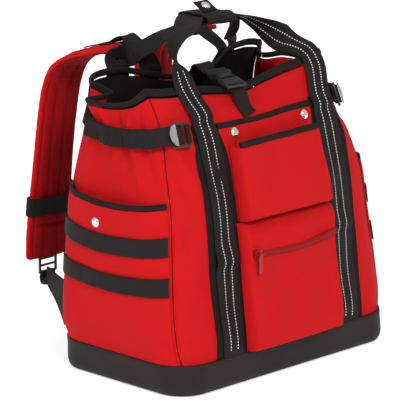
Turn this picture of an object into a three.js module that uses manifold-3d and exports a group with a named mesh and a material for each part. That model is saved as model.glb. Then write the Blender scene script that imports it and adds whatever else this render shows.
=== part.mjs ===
// Tool backpack: soft-sided bag on a moulded base tub, in millimetres, +Z up, front towards -Y.
// The origin is the centre of the flat underside of the tub.
import * as THREE from 'three';
import { mergeVertices } from 'three/addons/utils/BufferGeometryUtils.js';
import Module from 'manifold-3d';

// Body of the bag
const BODY_WIDTH = 424;
const BODY_DEPTH = 248;
const RIM_HEIGHT = 390;
const CORNER_RADIUS = 62;
const PANEL_WALL = 2.0;
const LINING_WALL = 1.4;
const CLEARANCE = 0.35;
const LAYER_GAP = 0.65;
const BINDING_GAP = 2.6;
const FOLD_START = 285;
const PLEAT_DEPTH = 42;
const RIM_DIP = 22;
const STRAP_PULL = 52;

// Base tub
const TUB_HEIGHT = 42;
const TUB_WALL = 3.0;
const TUB_FLOOR = 4.0;
const TUB_EDGE = 9;

// Binding tape along cut edges
const RIM_BINDING_HEIGHT = 9;
const RIM_BINDING_WALL = 1.5;
const POCKET_BINDING_HEIGHT = 8;
const POCKET_BINDING_WALL = 1.2;

// Webbing sizes
const HANDLE_WEB_WIDTH = 38;
const SMALL_WEB_WIDTH = 25;
const WEB_THICK = 1.8;
const BAND_WIDTH = 58;
const BAND_WALL = 1.2;
const BAND_MARGIN = 4;
const BAND_TOP = 345;
const BAND_X = 110;

// Carry handles
const GRIP_HEIGHT = 458;
const GRIP_Y = 30;
const GRIP_DROP = 5;
const HANDLE_LEAN = 18;
const RIM_LIFT = 2.9;
const WRAP_LENGTH = 62;
const WRAP_WALL = 2.0;
const WRAP_SPREAD = 14;
const FLAP_WIDTH = 26;
const FLAP_LENGTH = 22;
const FLAP_TILT = 0.5;
const FLAP_X = -4;
const REAR_ROOT_X = 102;
const REAR_TAIL = 70;

// Front pockets
const POCKET_WALL = 1.6;
const ORGANIZER_TOP = 334;
const UPPER_POCKET_TOP = 311;
const UPPER_POCKET_DEPTH = 20;
const POCKET_SPLIT = 213;
const LOWER_POCKET_DEPTH = 18;
const LOWER_POCKET_HALF_WIDTH = 86;
const UPPER_POCKET_HALF_WIDTH = 80;
const GUSSET_TAPER = 4;
const POCKET_CROWN = 1.06;
const ZIP_HEIGHT = 172;
const ZIP_WIDTH = 9;
const ZIP_SAG = 8;
const ZIP_WALL = 1.0;

// Zip slider and pull
const SLIDER_LENGTH = 13;
const SLIDER_WIDTH = 9;
const SLIDER_THICK = 3;
const SLIDER_X = -74;
const PULL_LENGTH = 26;
const PULL_WIDTH = 6;
const PULL_THICK = 1.6;
const BAIL_RADIUS = 1.1;
const EYE_WALL = 1.3;
const LUG_THICK = 1.4;

// Side pockets
const SIDE_POCKET_TOP = 246;
const SIDE_POCKET_SAG = 9;
const SIDE_POCKET_DEPTH = 12;
const SIDE_BAND_UPPER = 198;
const SIDE_BAND_LOWER = 145;

// Press studs
const SNAP_RADIUS = 6.5;
const SNAP_THICK = 3;
const FRONT_SNAP_HEIGHT = 326;
const FRONT_SNAP_LEFT = -61;
const FRONT_SNAP_RIGHT = 73;
const SIDE_SNAP_RISE = 0.36;
const SIDE_SNAP_SHARE = 0.43;

// Closure strap and its side-release buckle
const CLOSURE_WIDTH = 25;
const CLOSURE_ROOT = 12;
const CLOSURE_LIFT = 26;
const CLOSURE_TAIL = 100;
const CLOSURE_BACK_X = -5;
const BUCKLE_X = -27;
const BUCKLE_FRONT = 50;
const BUCKLE_BELOW_RIM = 14;
const BUCKLE_SKEW = 0.074;
const BUCKLE_RISE = 0.296;
const BUCKLE_LENGTH = 26;
const BUCKLE_WIDTH = 34;
const BUCKLE_THICK = 9;
const LATCH_LENGTH = 22;
const LATCH_THICK = 6.3;
const SLOT_LENGTH = 5;
const SLOT_PLAY = 1;

// Cinch straps
const LEFT_LOCK_SHARE = 1.07;
const RIGHT_LOCK_SHARE = 1.00;
const TAIL_SHARE = 0.22;
const TAB_REACH = 1;
const CINCH_LOCK_WIDTH = 33;
const CINCH_LOCK_LENGTH = 27;
const BAR_THICK = 3;

// Shoulder straps
const PAD_WIDTH = 70;
const PAD_THICK = 12;
const PAD_FLARE = 10;
const PAD_LENGTH = 345;
const PAD_REACH = 108;
const STRAP_HEM_X = 106;
const STRAP_ROOT_X = 60;
const STRAP_ROOT_TAIL = 60;
const ROOT_WEB_WIDTH = 28;
const KEEPER_HEIGHT = 179;
const KEEPER_WIDTH = 17;
const KEEPER_WALL = 1.6;
const KEEPER_PLAY = 3;
const STERNUM_WIDTH = 15;
const STERNUM_SAG = 7;
const ADJUST_LOCK_LENGTH = 22;
const WING_LOW = 52;
const WING_HIGH = 116;
const WING_WALL = 2.0;

// Colours, with roughness, of the sorts of material
const FINISH = {
  red: [0xc4161c, 0.85],
  black: [0x232022, 0.85],
  web: [0x1d1b1c, 0.8],
  tub: [0x262122, 0.75],
  plastic: [0x3a3a3c, 0.5],
  steel: [0xd8d8d6, 0.25, 1],
  redMetal: [0xa8141a, 0.45, 0.3],
};

// Sections of the body: height and half sizes as shares of the named sizes
const HALF_WIDTH = BODY_WIDTH / 2;
const HALF_DEPTH = BODY_DEPTH / 2;
const SECTIONS = [
  { height: 0.000, left: 0.955, right: 0.935, front: 0.992, back: 0.890, corner: 0.60 },
  { height: 0.108, left: 0.968, right: 0.948, front: 0.985, back: 0.930, corner: 0.80 },
  { height: 0.167, left: 1.000, right: 0.984, front: 0.980, back: 1.000, corner: 1.00 },
  { height: 0.282, left: 0.995, right: 0.976, front: 0.920, back: 1.000, corner: 1.00 },
  { height: 0.462, left: 0.969, right: 0.942, front: 0.855, back: 0.976, corner: 0.97 },
  { height: 0.615, left: 0.946, right: 0.910, front: 0.798, back: 0.950, corner: 0.94 },
  { height: 0.744, left: 0.922, right: 0.850, front: 0.690, back: 0.871, corner: 0.88 },
  { height: 0.821, left: 0.897, right: 0.765, front: 0.613, back: 0.823, corner: 0.80 },
  { height: 0.897, left: 0.873, right: 0.752, front: 0.500, back: 0.790, corner: 0.70 },
  { height: 1.000, left: 0.849, right: 0.800, front: 0.258, back: 0.750, corner: 0.55 },
];

// Folds of the rim round the mouth: side is the panel's number plus the share along it.
// across and along are shares of the pleat depth, pull of the closure strap's pull, dip of the rim dip.
const FOLDS = [
  { side: 0.00, across: 0.00, along: 0.00, pull: 0.00, dip: -0.12 },
  { side: 0.25, across: 0.00, along: 0.00, pull: 0.00, dip: 0.28 },
  { side: 0.50, across: 0.00, along: 0.00, pull: 0.00, dip: 0.80 },
  { side: 0.75, across: 0.00, along: 0.00, pull: 0.00, dip: 0.15 },
  { side: 1.00, across: 0.00, along: 0.00, pull: 0.00, dip: -0.10 },
  { side: 1.25, across: 0.05, along: -0.10, pull: 0.00, dip: 0.15 },
  { side: 1.50, across: 0.10, along: -0.05, pull: 0.00, dip: 0.55 },
  { side: 1.74, across: 0.18, along: 0.16, pull: 0.00, dip: 0.70 },
  { side: 1.88, across: -0.60, along: -0.12, pull: 0.00, dip: 0.60 },
  { side: 2.00, across: -0.05, along: 0.00, pull: 0.00, dip: 0.05 },
  { side: 2.12, across: 0.00, along: 0.00, pull: 0.06, dip: -0.10 },
  { side: 2.28, across: 0.00, along: 0.00, pull: 0.62, dip: -0.30 },
  { side: 2.42, across: 0.00, along: 0.00, pull: 0.98, dip: 0.20 },
  { side: 2.52, across: 0.00, along: 0.00, pull: 1.00, dip: 0.60 },
  { side: 2.61, across: 0.00, along: 0.00, pull: 0.62, dip: 0.55 },
  { side: 2.70, across: 0.00, along: 0.00, pull: 0.12, dip: 0.20 },
  { side: 2.82, across: 0.00, along: 0.00, pull: -0.04, dip: -0.15 },
  { side: 3.00, across: 0.10, along: 0.00, pull: 0.00, dip: 0.10 },
  { side: 3.12, across: 0.70, along: -0.14, pull: 0.00, dip: 0.82 },
  { side: 3.25, across: -0.24, along: 0.20, pull: 0.00, dip: 0.92 },
  { side: 3.50, across: -0.14, along: -0.10, pull: 0.00, dip: 1.00 },
  { side: 3.75, across: -0.03, along: -0.18, pull: 0.00, dip: 0.62 },
  { side: 4.00, across: 0.00, along: 0.00, pull: 0.00, dip: -0.12 },
];

const bag = new THREE.Group();

function material([color, roughness, metalness = 0]) {
  return new THREE.MeshStandardMaterial({ color, roughness, metalness });
}

function addPart(name, geometry, finish) {
  const mesh = new THREE.Mesh(geometry, material(finish));
  mesh.name = name;
  bag.add(mesh);
  return mesh;
}

function mix(a, b, share) {
  return a + (b - a) * share;
}

function smooth(low, high, value) {
  const share = Math.min(1, Math.max(0, (value - low) / (high - low)));
  return share * share * (3 - 2 * share);
}

// Value of a column of a table at a key, eased between rows
function lookUp(table, key, column, at) {
  let row = 0;
  while (row < table.length - 2 && table[row + 1][key] < at) row += 1;
  const before = table[Math.max(0, row - 1)];
  const low = table[row];
  const high = table[row + 1];
  const after = table[Math.min(table.length - 1, row + 2)];
  const span = high[key] - low[key];
  const share = Math.min(1, Math.max(0, (at - low[key]) / span));
  const leaving = (high[column] - before[column]) / (high[key] - before[key]) * span;
  const arriving = (after[column] - low[column]) / (after[key] - low[key]) * span;
  const square = share * share;
  const cube = square * share;
  return low[column] * (2 * cube - 3 * square + 1) + leaving * (cube - 2 * square + share)
    + high[column] * (3 * square - 2 * cube) + arriving * (cube - square);
}

function sectionAt(z) {
  const at = z / RIM_HEIGHT;
  return {
    left: lookUp(SECTIONS, 'height', 'left', at) * HALF_WIDTH,
    right: lookUp(SECTIONS, 'height', 'right', at) * HALF_WIDTH,
    front: lookUp(SECTIONS, 'height', 'front', at) * HALF_DEPTH,
    back: lookUp(SECTIONS, 'height', 'back', at) * HALF_DEPTH,
    corner: lookUp(SECTIONS, 'height', 'corner', at) * CORNER_RADIUS,
  };
}

// Point on the plain section: u runs 0 to 4 round front, right, back and left,
// each from the middle of one rounded corner to the middle of the next.
function sectionPoint(u, section) {
  const turn = ((u % 4) + 4) % 4;
  const side = Math.floor(turn);
  const { left, right, front, back, corner } = section;
  const centres = [[-left + corner, -front + corner], [right - corner, -front + corner],
    [right - corner, back - corner], [-left + corner, back - corner]];
  const [startX, startY] = centres[side];
  const [endX, endY] = centres[(side + 1) % 4];
  const arc = corner * Math.PI / 4;
  const straight = Math.hypot(endX - startX, endY - startY);
  const travel = (turn - side) * (2 * arc + straight);
  const facing = -Math.PI / 2 + side * Math.PI / 2;
  let angle = facing;
  let along = travel - arc;
  if (travel < arc) {
    angle = facing - Math.PI / 4 + travel / corner;
    along = 0;
  } else if (travel > arc + straight) {
    angle = facing + (travel - arc - straight) / corner;
    along = straight;
  }
  const x = mix(startX, endX, along / straight) + corner * Math.cos(angle);
  const y = mix(startY, endY, along / straight) + corner * Math.sin(angle);
  return [x, y];
}

function bodyPoint(u, z) {
  const [x, y] = sectionPoint(u, sectionAt(z));
  const turn = ((u % 4) + 4) % 4;
  const fold = smooth(FOLD_START, RIM_HEIGHT + 30, z) * smooth(FOLD_START, RIM_HEIGHT, z) / 0.87;
  const across = lookUp(FOLDS, 'side', 'across', turn) * PLEAT_DEPTH;
  const along = lookUp(FOLDS, 'side', 'along', turn) * PLEAT_DEPTH;
  const pull = lookUp(FOLDS, 'side', 'pull', turn) * STRAP_PULL;
  const dip = lookUp(FOLDS, 'side', 'dip', turn) * RIM_DIP;
  return new THREE.Vector3(x + across * fold, y + (along - pull) * fold, z - dip * fold);
}

// Point at a distance outside the body's outer face, square to it in plan
function bodyAt(u, z, off = 0) {
  const step = 0.004;
  const point = bodyPoint(u, z);
  const before = bodyPoint(u - step, z);
  const after = bodyPoint(u + step, z);
  const normal = new THREE.Vector3(after.y - before.y, before.x - after.x, 0).normalize();
  return point.addScaledVector(normal, off);
}

// Place round the body (u) whose x, or y on the left and right, has a value
function findSide(side, axis, value, z) {
  let low = side;
  let high = side + 0.9999;
  const rising = bodyPoint(high, z)[axis] > bodyPoint(low, z)[axis];
  for (let step = 0; step < 24; step += 1) {
    const middle = (low + high) / 2;
    if ((bodyPoint(middle, z)[axis] < value) === rising) low = middle;
    else high = middle;
  }
  return (low + high) / 2;
}

const frontAt = (x, z, off) => bodyAt(findSide(0, 'x', x, z), z, off);
const backAt = (x, z, off) => bodyAt(findSide(2, 'x', x, z), z, off);
backAt.facing = -1;

function closedGeometry(points, triangles) {
  const geometry = new THREE.BufferGeometry();
  const numbers = points.flatMap((point) => [point.x, point.y, point.z]);
  geometry.setAttribute('position', new THREE.Float32BufferAttribute(numbers, 3));
  geometry.setIndex(triangles);
  geometry.computeVertexNormals();
  return geometry;
}

// Closed solid between an outer and an inner grid of points, rows of equal length
function gridSolid(outer, inner) {
  const rows = outer.length;
  const columns = outer[0].length;
  const points = [...outer.flat(), ...inner.flat()];
  const triangles = [];
  const at = (layer, row, column) => (layer * rows + row) * columns + column;
  const quad = (a, b, c, d) => triangles.push(a, b, c, a, c, d);
  for (let row = 0; row < rows - 1; row += 1) {
    for (let column = 0; column < columns - 1; column += 1) {
      quad(at(0, row, column), at(0, row, column + 1), at(0, row + 1, column + 1), at(0, row + 1, column));
      quad(at(1, row, column), at(1, row + 1, column), at(1, row + 1, column + 1), at(1, row, column + 1));
    }
    quad(at(0, row, 0), at(0, row + 1, 0), at(1, row + 1, 0), at(1, row, 0));
    const last = columns - 1;
    quad(at(0, row, last), at(1, row, last), at(1, row + 1, last), at(0, row + 1, last));
  }
  for (let column = 0; column < columns - 1; column += 1) {
    quad(at(0, 0, column), at(1, 0, column), at(1, 0, column + 1), at(0, 0, column + 1));
    const top = rows - 1;
    quad(at(0, top, column), at(0, top, column + 1), at(1, top, column + 1), at(1, top, column));
  }
  return closedGeometry(points, triangles);
}

// Sheet whose two faces are given by one function of the shares across and up, and a layer
function layeredSheet(columns, rows, place) {
  const face = (layer) => rows.map((up) => columns.map((across) => place(across, up, layer)));
  return gridSolid(face(1), face(0));
}

// Sheet of even thickness below a grid of points of its outer face
function thickSheet(grid, thickness) {
  const rows = grid.length;
  const columns = grid[0].length;
  const inner = grid.map((line, row) => line.map((point, column) => {
    const right = grid[row][Math.min(columns - 1, column + 1)];
    const left = grid[row][Math.max(0, column - 1)];
    const above = grid[Math.min(rows - 1, row + 1)][column];
    const below = grid[Math.max(0, row - 1)][column];
    const across = new THREE.Vector3().subVectors(right, left);
    const up = new THREE.Vector3().subVectors(above, below);
    const normal = across.cross(up).normalize();
    return point.clone().addScaledVector(normal, -thickness);
  }));
  return gridSolid(grid, inner);
}

function shares(count, low = 0, high = 1) {
  return Array.from({ length: count + 1 }, (_, index) => mix(low, high, index / count));
}

// Solid through closed rings of points, with a fan over each end
function loft(rings) {
  const sides = rings[0].length;
  const points = rings.flat();
  const triangles = [];
  for (let ring = 0; ring < rings.length - 1; ring += 1) {
    for (let side = 0; side < sides; side += 1) {
      const next = (side + 1) % sides;
      const a = ring * sides + side;
      const b = ring * sides + next;
      const falling = rings[ring][0].z > rings[ring + 1][0].z;
      if (falling) triangles.push(a, b, a + sides, b, b + sides, a + sides);
      else triangles.push(a, b, b + sides, a, b + sides, a + sides);
    }
  }
  const centre = (ring) => ring.reduce((sum, point) => sum.add(point), new THREE.Vector3())
    .divideScalar(sides);
  const start = points.length;
  points.push(centre(rings[0]), centre(rings[rings.length - 1]));
  const end = (rings.length - 1) * sides;
  for (let side = 0; side < sides; side += 1) {
    const next = (side + 1) % sides;
    triangles.push(start, next, side);
    triangles.push(start + 1, end + side, end + next);
  }
  return closedGeometry(points, triangles);
}

// Smooth curve through chosen rows, each a place and the direction across the strap
function strapCurve(rows) {
  const path = new THREE.CatmullRomCurve3(rows.map((row) => row.place), false, 'centripetal');
  const across = new THREE.CatmullRomCurve3(rows.map((row) => row.across), false, 'catmullrom');
  return (share) => {
    const place = path.getPoint(share);
    const side = across.getPoint(share).normalize();
    const tangent = path.getTangent(share);
    side.addScaledVector(tangent, -side.dot(tangent)).normalize();
    const normal = new THREE.Vector3().crossVectors(side, tangent).normalize();
    return { place, side, normal, tangent };
  };
}

// Flat strap through frames of place, side and normal, centred on them
function strapThrough(frames, width, thickness) {
  const corner = (frame, across, layer) => frame.place.clone()
    .addScaledVector(frame.side, (across - 0.5) * (frame.width ?? width))
    .addScaledVector(frame.normal, (layer - 0.5) * thickness);
  const face = (layer) => frames.map((frame) => [0, 1].map((across) => corner(frame, across, layer)));
  return gridSolid(face(1), face(0));
}

// Share of a curve at which it reaches a height
function findShare(curve, z) {
  let [low, high] = [0, 1];
  for (let step = 0; step < 24; step += 1) {
    const middle = (low + high) / 2;
    if (curve(middle).place.z < z) low = middle;
    else high = middle;
  }
  return (low + high) / 2;
}

function strap(rows, width, thickness, steps) {
  return strapThrough(shares(steps).map(strapCurve(rows)), width, thickness);
}

const row = (x, y, z, across) => rowOn(new THREE.Vector3(x, y, z), across);
const rowOn = (place, across) => ({ place, across: new THREE.Vector3(...across) });

// Stations round the body, shared by all that lies on it, so that facets stay parallel
const PANEL_FOOT = TUB_EDGE + 8;
const SEAM = CLEARANCE / 200;
const FRONT_STATIONS = [0, 0.03, 0.06, 0.09, 0.12, 0.24, 0.36, 0.5, 0.64, 0.76, 0.88, 0.91, 0.94, 0.97, 1];
const BACK_STATIONS = [0, 0.06, 0.12, 0.2, 0.28, 0.36, 0.44, 0.52, 0.58, 0.64, 0.7, 0.82, 0.88, 0.94, 1];
const LEFT_STATIONS = [0, 0.06, 0.12, 0.18, 0.25, 0.34, 0.48, 0.62, 0.76, 0.88, 1];
const RIGHT_STATIONS = LEFT_STATIONS.map((share) => 1 - share).reverse();
const STATIONS = [FRONT_STATIONS, RIGHT_STATIONS, BACK_STATIONS, LEFT_STATIONS];
const ROUND = STATIONS.flatMap((stations, side) => stations.slice(0, -1).map((share) => side + share));
const LEFT_PLEAT = 3 + LEFT_STATIONS[2];
const RIGHT_PLEAT = 1 + RIGHT_STATIONS[8];
const HEIGHTS = [0, 0.1, 0.22, 0.36, 0.5, 0.63, 0.73, 0.81, 0.94, 1];
const PANEL_TOP = RIM_HEIGHT - RIM_BINDING_HEIGHT - BINDING_GAP;
const PANEL_ROWS = [PANEL_FOOT, ...HEIGHTS.map((share) => mix(TUB_HEIGHT, PANEL_TOP, share)), BAND_TOP]
  .sort((a, b) => a - b);

function stationsBetween(from, to) {
  const turns = [-4, 0].flatMap((turn) => ROUND.map((u) => u + turn));
  return [from, ...turns.filter((u) => u > from + 0.01 && u < to - 0.01), to];
}

// Base tub
function tubRing(z, off) {
  return ROUND.map((u) => {
    const point = bodyAt(u, Math.max(z, PANEL_FOOT), off);
    return point.setZ(z);
  });
}

function baseTub() {
  const outside = CLEARANCE + TUB_WALL;
  return loft([
    tubRing(0, outside - TUB_EDGE),
    tubRing(TUB_EDGE * 0.13, outside - TUB_EDGE * 0.5),
    tubRing(TUB_EDGE * 0.5, outside - TUB_EDGE * 0.13),
    tubRing(TUB_EDGE, outside),
    tubRing(TUB_HEIGHT, outside),
    tubRing(TUB_HEIGHT, CLEARANCE),
    tubRing(PANEL_FOOT, CLEARANCE),
    tubRing(TUB_FLOOR, CLEARANCE - TUB_EDGE * 0.5),
  ]);
}
addPart('base_tub', baseTub(), FINISH.tub);

// Walls of the body
function wallSheet(side, stations, outside, wall) {
  const columns = stations.map((share) => Math.min(1 - SEAM, Math.max(SEAM, share)));
  const place = (across, z, layer) => bodyAt(side + across, z, outside - (1 - layer) * wall);
  return layeredSheet(columns, PANEL_ROWS, place);
}

addPart('front_panel', wallSheet(0, FRONT_STATIONS, 0, PANEL_WALL), FINISH.red);
addPart('side_panel_right', wallSheet(1, RIGHT_STATIONS, 0, PANEL_WALL), FINISH.red);
addPart('back_panel', wallSheet(2, BACK_STATIONS, 0, PANEL_WALL), FINISH.black);
addPart('side_panel_left', wallSheet(3, LEFT_STATIONS, 0, PANEL_WALL), FINISH.red);
const LINING_FACE = -PANEL_WALL - CLEARANCE;
addPart('front_lining', wallSheet(0, FRONT_STATIONS.slice(1, -1), LINING_FACE, LINING_WALL), FINISH.black);
addPart('back_lining', wallSheet(2, BACK_STATIONS.slice(1, -1), LINING_FACE, LINING_WALL), FINISH.black);

// Binding of the rim, in two lengths that meet in the side pleats
function rimBinding(from, to) {
  const inside = LINING_FACE - LINING_WALL - RIM_BINDING_WALL;
  const place = (u, z, layer) => bodyAt(u, z, mix(inside, RIM_BINDING_WALL, layer));
  return layeredSheet(stationsBetween(from, to), [RIM_HEIGHT - RIM_BINDING_HEIGHT, RIM_HEIGHT], place);
}
addPart('front_rim_binding', rimBinding(LEFT_PLEAT - 4 + SEAM, RIGHT_PLEAT - SEAM), FINISH.black);
addPart('back_rim_binding', rimBinding(RIGHT_PLEAT + SEAM, LEFT_PLEAT - SEAM), FINISH.black);

const both = (build) => [['left', -1], ['right', 1]].forEach(([name, hand]) => build(name, hand));
const rowsBetween = (low, high) => [low, ...PANEL_ROWS.filter((z) => z > low + 4 && z < high - 4), high];

// Wide bands on the front, narrowing under the handle webbing
function bandHalf(z) {
  return mix(BAND_WIDTH, HANDLE_WEB_WIDTH + BAND_MARGIN, smooth(FOLD_START, BAND_TOP, z)) / 2;
}

function frontSheet(edge, columns, rows, inside, wall) {
  const place = (across, z, layer) => {
    const [low, high] = edge(z);
    return frontAt(mix(low, high, across), z, inside + layer * wall);
  };
  return layeredSheet(columns, rows, place);
}

const BAND_FOOT = TUB_HEIGHT + CLEARANCE;
both((name, hand) => {
  const edge = (z) => [hand * BAND_X - bandHalf(z), hand * BAND_X + bandHalf(z)];
  const rows = rowsBetween(BAND_FOOT, BAND_TOP);
  const band = frontSheet(edge, shares(8), rows, LAYER_GAP, BAND_WALL);
  addPart(`front_band_${name}`, band, FINISH.black);
});

// Both carry handles: the grip slopes down to the right, and each leg turns as it rises. In the legs' rows
// x is a share of the legs' spacing, y of the half depth and rise of the grip's height over the rim.
const GRIP_HALF = WRAP_LENGTH / 2;
const STACK = WEB_THICK + 9 * CLEARANCE;
const gripHeight = (x) => GRIP_HEIGHT - GRIP_DROP * (x / GRIP_HALF + 1) / 2;
const gripRow = (x, y, lift) => row(x, y, gripHeight(x) + lift, [0, 1, 0]);
const turned = (turn) => [Math.cos(Math.PI * turn), Math.sin(Math.PI * turn), 0];
const loopRow = (reach) => ({ x, y, rise, turn }) => (
  row(x * reach, y * HALF_DEPTH, mix(RIM_HEIGHT, GRIP_HEIGHT, rise), turned(turn)));

// Front carry handle: webbing up one band, over as a loop and down the other
const WEB_ON_BAND = LAYER_GAP + BAND_WALL + CLEARANCE + WEB_THICK / 2;
const FRONT_LEFT_LEG = [
  { x: -1.027, y: -0.234, rise: 0.235, turn: 0.08 },
  { x: -1.000, y: -0.161, rise: 0.500, turn: 0.28 },
  { x: -0.882, y: -0.073, rise: 0.750, turn: 0.40 },
  { x: -0.609, y: 0.040, rise: 0.912, turn: 0.46 },
];
const FRONT_RIGHT_LEG = [
  { x: 0.545, y: 0.218, rise: 0.824, turn: 0.55 },
  { x: 0.800, y: 0.137, rise: 0.588, turn: 0.66 },
  { x: 1.000, y: 0.000, rise: 0.310, turn: 0.78 },
  { x: 1.140, y: -0.226, rise: 0.118, turn: 0.93 },
];

function webX(hand, z) {
  return hand * BAND_X + (hand > 0 ? HANDLE_LEAN * smooth(BAND_TOP, RIM_HEIGHT, z) : 0);
}

// Flat webbing on the body: seated on its two edges and its middle
function seatedFrame(at, x, z, off, hand, width = HANDLE_WEB_WIDTH) {
  const half = width / 2;
  const [low, middle, high] = [x - half, x, x + half].map((value) => at(value, z, off));
  const side = new THREE.Vector3().subVectors(high, low).setZ(0).normalize().multiplyScalar(hand);
  const upward = new THREE.Vector3(0, 0, hand * at.facing);
  const outward = new THREE.Vector3().crossVectors(side, upward).normalize();
  const centre = low.clone().add(high).multiplyScalar(0.5);
  const bulge = Math.max(0, middle.clone().sub(centre).dot(outward));
  return { place: centre.addScaledVector(outward, bulge), side, normal: outward };
}

function handleStrap(legLeft, loopRows, legRight) {
  const all = [
    rowOn(legLeft[legLeft.length - 2].place, legLeft[legLeft.length - 2].side.toArray()),
    rowOn(legLeft[legLeft.length - 1].place, legLeft[legLeft.length - 1].side.toArray()),
    ...loopRows,
    rowOn(legRight[0].place, legRight[0].side.toArray()),
    rowOn(legRight[1].place, legRight[1].side.toArray()),
  ];
  const inside = 1 / (all.length - 1);
  const loop = shares(28, inside, 1 - inside).map(strapCurve(all)).slice(1, -1);
  return strapThrough([...legLeft, ...loop, ...legRight], HANDLE_WEB_WIDTH, WEB_THICK);
}

function frontHandle() {
  const rows = rowsBetween(BAND_FOOT, RIM_HEIGHT);
  const leg = (hand) => rows.map((z) => ({
    place: frontAt(hand * (BAND_X - HANDLE_WEB_WIDTH / 2), z, WEB_ON_BAND + (z < BAND_TOP ? 0 : RIM_LIFT))
      .setX(webX(hand, z)),
    side: new THREE.Vector3(-hand, 0, 0),
    normal: new THREE.Vector3(0, -1, 0),
  }));
  const grip = [-GRIP_HALF, 0, GRIP_HALF].map((x) => gripRow(x, GRIP_Y, 0));
  const loop = [...FRONT_LEFT_LEG.map(loopRow(BAND_X)), ...grip, ...FRONT_RIGHT_LEG.map(loopRow(BAND_X))];
  return handleStrap(leg(-1), loop, leg(1).reverse());
}
addPart('front_handle', frontHandle(), FINISH.web);

// Rear carry handle, sewn to the back panel
const WEB_ON_BACK = RIM_BINDING_WALL + 3.5 * CLEARANCE + WEB_THICK / 2;
const REAR_LEFT_LEG = [
  { x: -1.000, y: 0.815, rise: 0.176, turn: 0.97 },
  { x: -0.833, y: 0.742, rise: 0.279, turn: 0.78 },
  { x: -0.637, y: 0.621, rise: 0.397, turn: 0.50 },
  { x: -0.510, y: 0.484, rise: 0.603, turn: 0.37 },
  { x: -0.412, y: 0.347, rise: 0.735, turn: 0.46 },
];
const REAR_RIGHT_LEG = [
  { x: 0.549, y: 0.403, rise: 0.750, turn: 0.42 },
  { x: 0.765, y: 0.532, rise: 0.559, turn: 0.30 },
  { x: 0.941, y: 0.677, rise: 0.309, turn: 0.14 },
];

function rearHandle() {
  const rows = rowsBetween(PANEL_TOP - REAR_TAIL, RIM_HEIGHT);
  const leg = (hand) => rows.map((z) => seatedFrame(backAt, hand * REAR_ROOT_X, z, WEB_ON_BACK, hand));
  const grip = [-GRIP_HALF, 0, GRIP_HALF].map((x) => gripRow(x, GRIP_Y + 2, -STACK));
  const [leftLoop, rightLoop] = [REAR_LEFT_LEG, REAR_RIGHT_LEG].map((rows) => rows.map(loopRow(REAR_ROOT_X)));
  const loop = [...leftLoop, ...grip, ...rightLoop];
  return handleStrap(leg(-1), loop, leg(1).reverse());
}
addPart('rear_handle', rearHandle(), FINISH.web);

// Solid whose rings close on each other, such as a sleeve
function ringTube(rings) {
  const sides = rings[0].length;
  const triangles = [];
  rings.forEach((_, ring) => {
    const after = (ring + 1) % rings.length;
    for (let side = 0; side < sides; side += 1) {
      const next = (side + 1) % sides;
      const corners = [ring * sides + side, ring * sides + next, after * sides + next, after * sides + side];
      const [a, b, c, d] = corners;
      triangles.push(a, b, c, a, c, d);
    }
  });
  return closedGeometry(rings.flat(), triangles);
}

// Flattened oval as shares of a width and a height
const OVAL = [[-0.5, 0], [-0.46, -0.36], [-0.36, -0.5], [0.36, -0.5], [0.46, -0.36], [0.5, 0],
  [0.46, 0.36], [0.36, 0.5], [-0.36, 0.5], [-0.46, 0.36]];

function ovalRing({ place, side, normal }, width, height) {
  return OVAL.map(([across, up]) => place.clone()
    .addScaledVector(side, across * width)
    .addScaledVector(normal, up * height));
}

function sleeve(frames, width, height, wall) {
  const outer = frames.map((frame) => ovalRing(frame, width + 2 * wall, height + 2 * wall));
  const inner = frames.map((frame) => ovalRing(frame, width, height)).reverse();
  return ringTube([...outer, ...inner]);
}

// Grip wrap round both webbings, closed by a flap with a press stud
const WRAP_INSIDE = WEB_THICK + STACK + 8 * CLEARANCE;
const wrapFrames = [1, 0.5, 0].map((share) => {
  const { place } = gripRow(mix(-GRIP_HALF, GRIP_HALF, share) * 0.9, GRIP_Y + 1, -STACK / 2);
  return { place, side: new THREE.Vector3(0, -1, 0), normal: new THREE.Vector3(0, 0, 1) };
});
const handleWrap = sleeve(wrapFrames, HANDLE_WEB_WIDTH + WRAP_SPREAD, WRAP_INSIDE, WRAP_WALL);
addPart('handle_wrap', handleWrap, FINISH.web);

const wrapTop = GRIP_HEIGHT - GRIP_DROP / 2 - STACK / 2 + WRAP_INSIDE / 2 + WRAP_WALL;
const flapFrame = (share) => {
  const out = (share - 0.5) * FLAP_LENGTH;
  const lift = FLAP_LENGTH / 2 * Math.sin(FLAP_TILT) + WRAP_WALL / 2 + CLEARANCE + out * Math.sin(FLAP_TILT);
  return {
    place: new THREE.Vector3(FLAP_X, GRIP_Y + 2 + out * Math.cos(FLAP_TILT), wrapTop + lift + GRIP_DROP / 5),
    side: new THREE.Vector3(1, 0, 0),
    normal: new THREE.Vector3(0, -Math.sin(FLAP_TILT), Math.cos(FLAP_TILT)),
  };
};
addPart('wrap_flap', strapThrough([flapFrame(0), flapFrame(1)], FLAP_WIDTH, WRAP_WALL), FINISH.web);

// Press stud cap, facing along a direction from a point on a surface
function addSnap(name, place, facing) {
  const profile = [[0, 0], [1, 0], [1, 0.45], [0.72, 1], [0, 1]]
    .map(([radius, height]) => new THREE.Vector2(radius * SNAP_RADIUS, height * SNAP_THICK));
  const geometry = new THREE.LatheGeometry(profile, 14);
  const snap = addPart(name, geometry, FINISH.steel);
  const direction = facing.clone().normalize();
  snap.quaternion.setFromUnitVectors(new THREE.Vector3(0, 1, 0), direction);
  snap.position.copy(place).addScaledVector(direction, CLEARANCE);
}
const flapMiddle = flapFrame(0.5);
const flapFace = flapMiddle.place.clone().addScaledVector(flapMiddle.normal, WRAP_WALL / 2);
addSnap('wrap_snap', flapFace, flapMiddle.normal);

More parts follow.
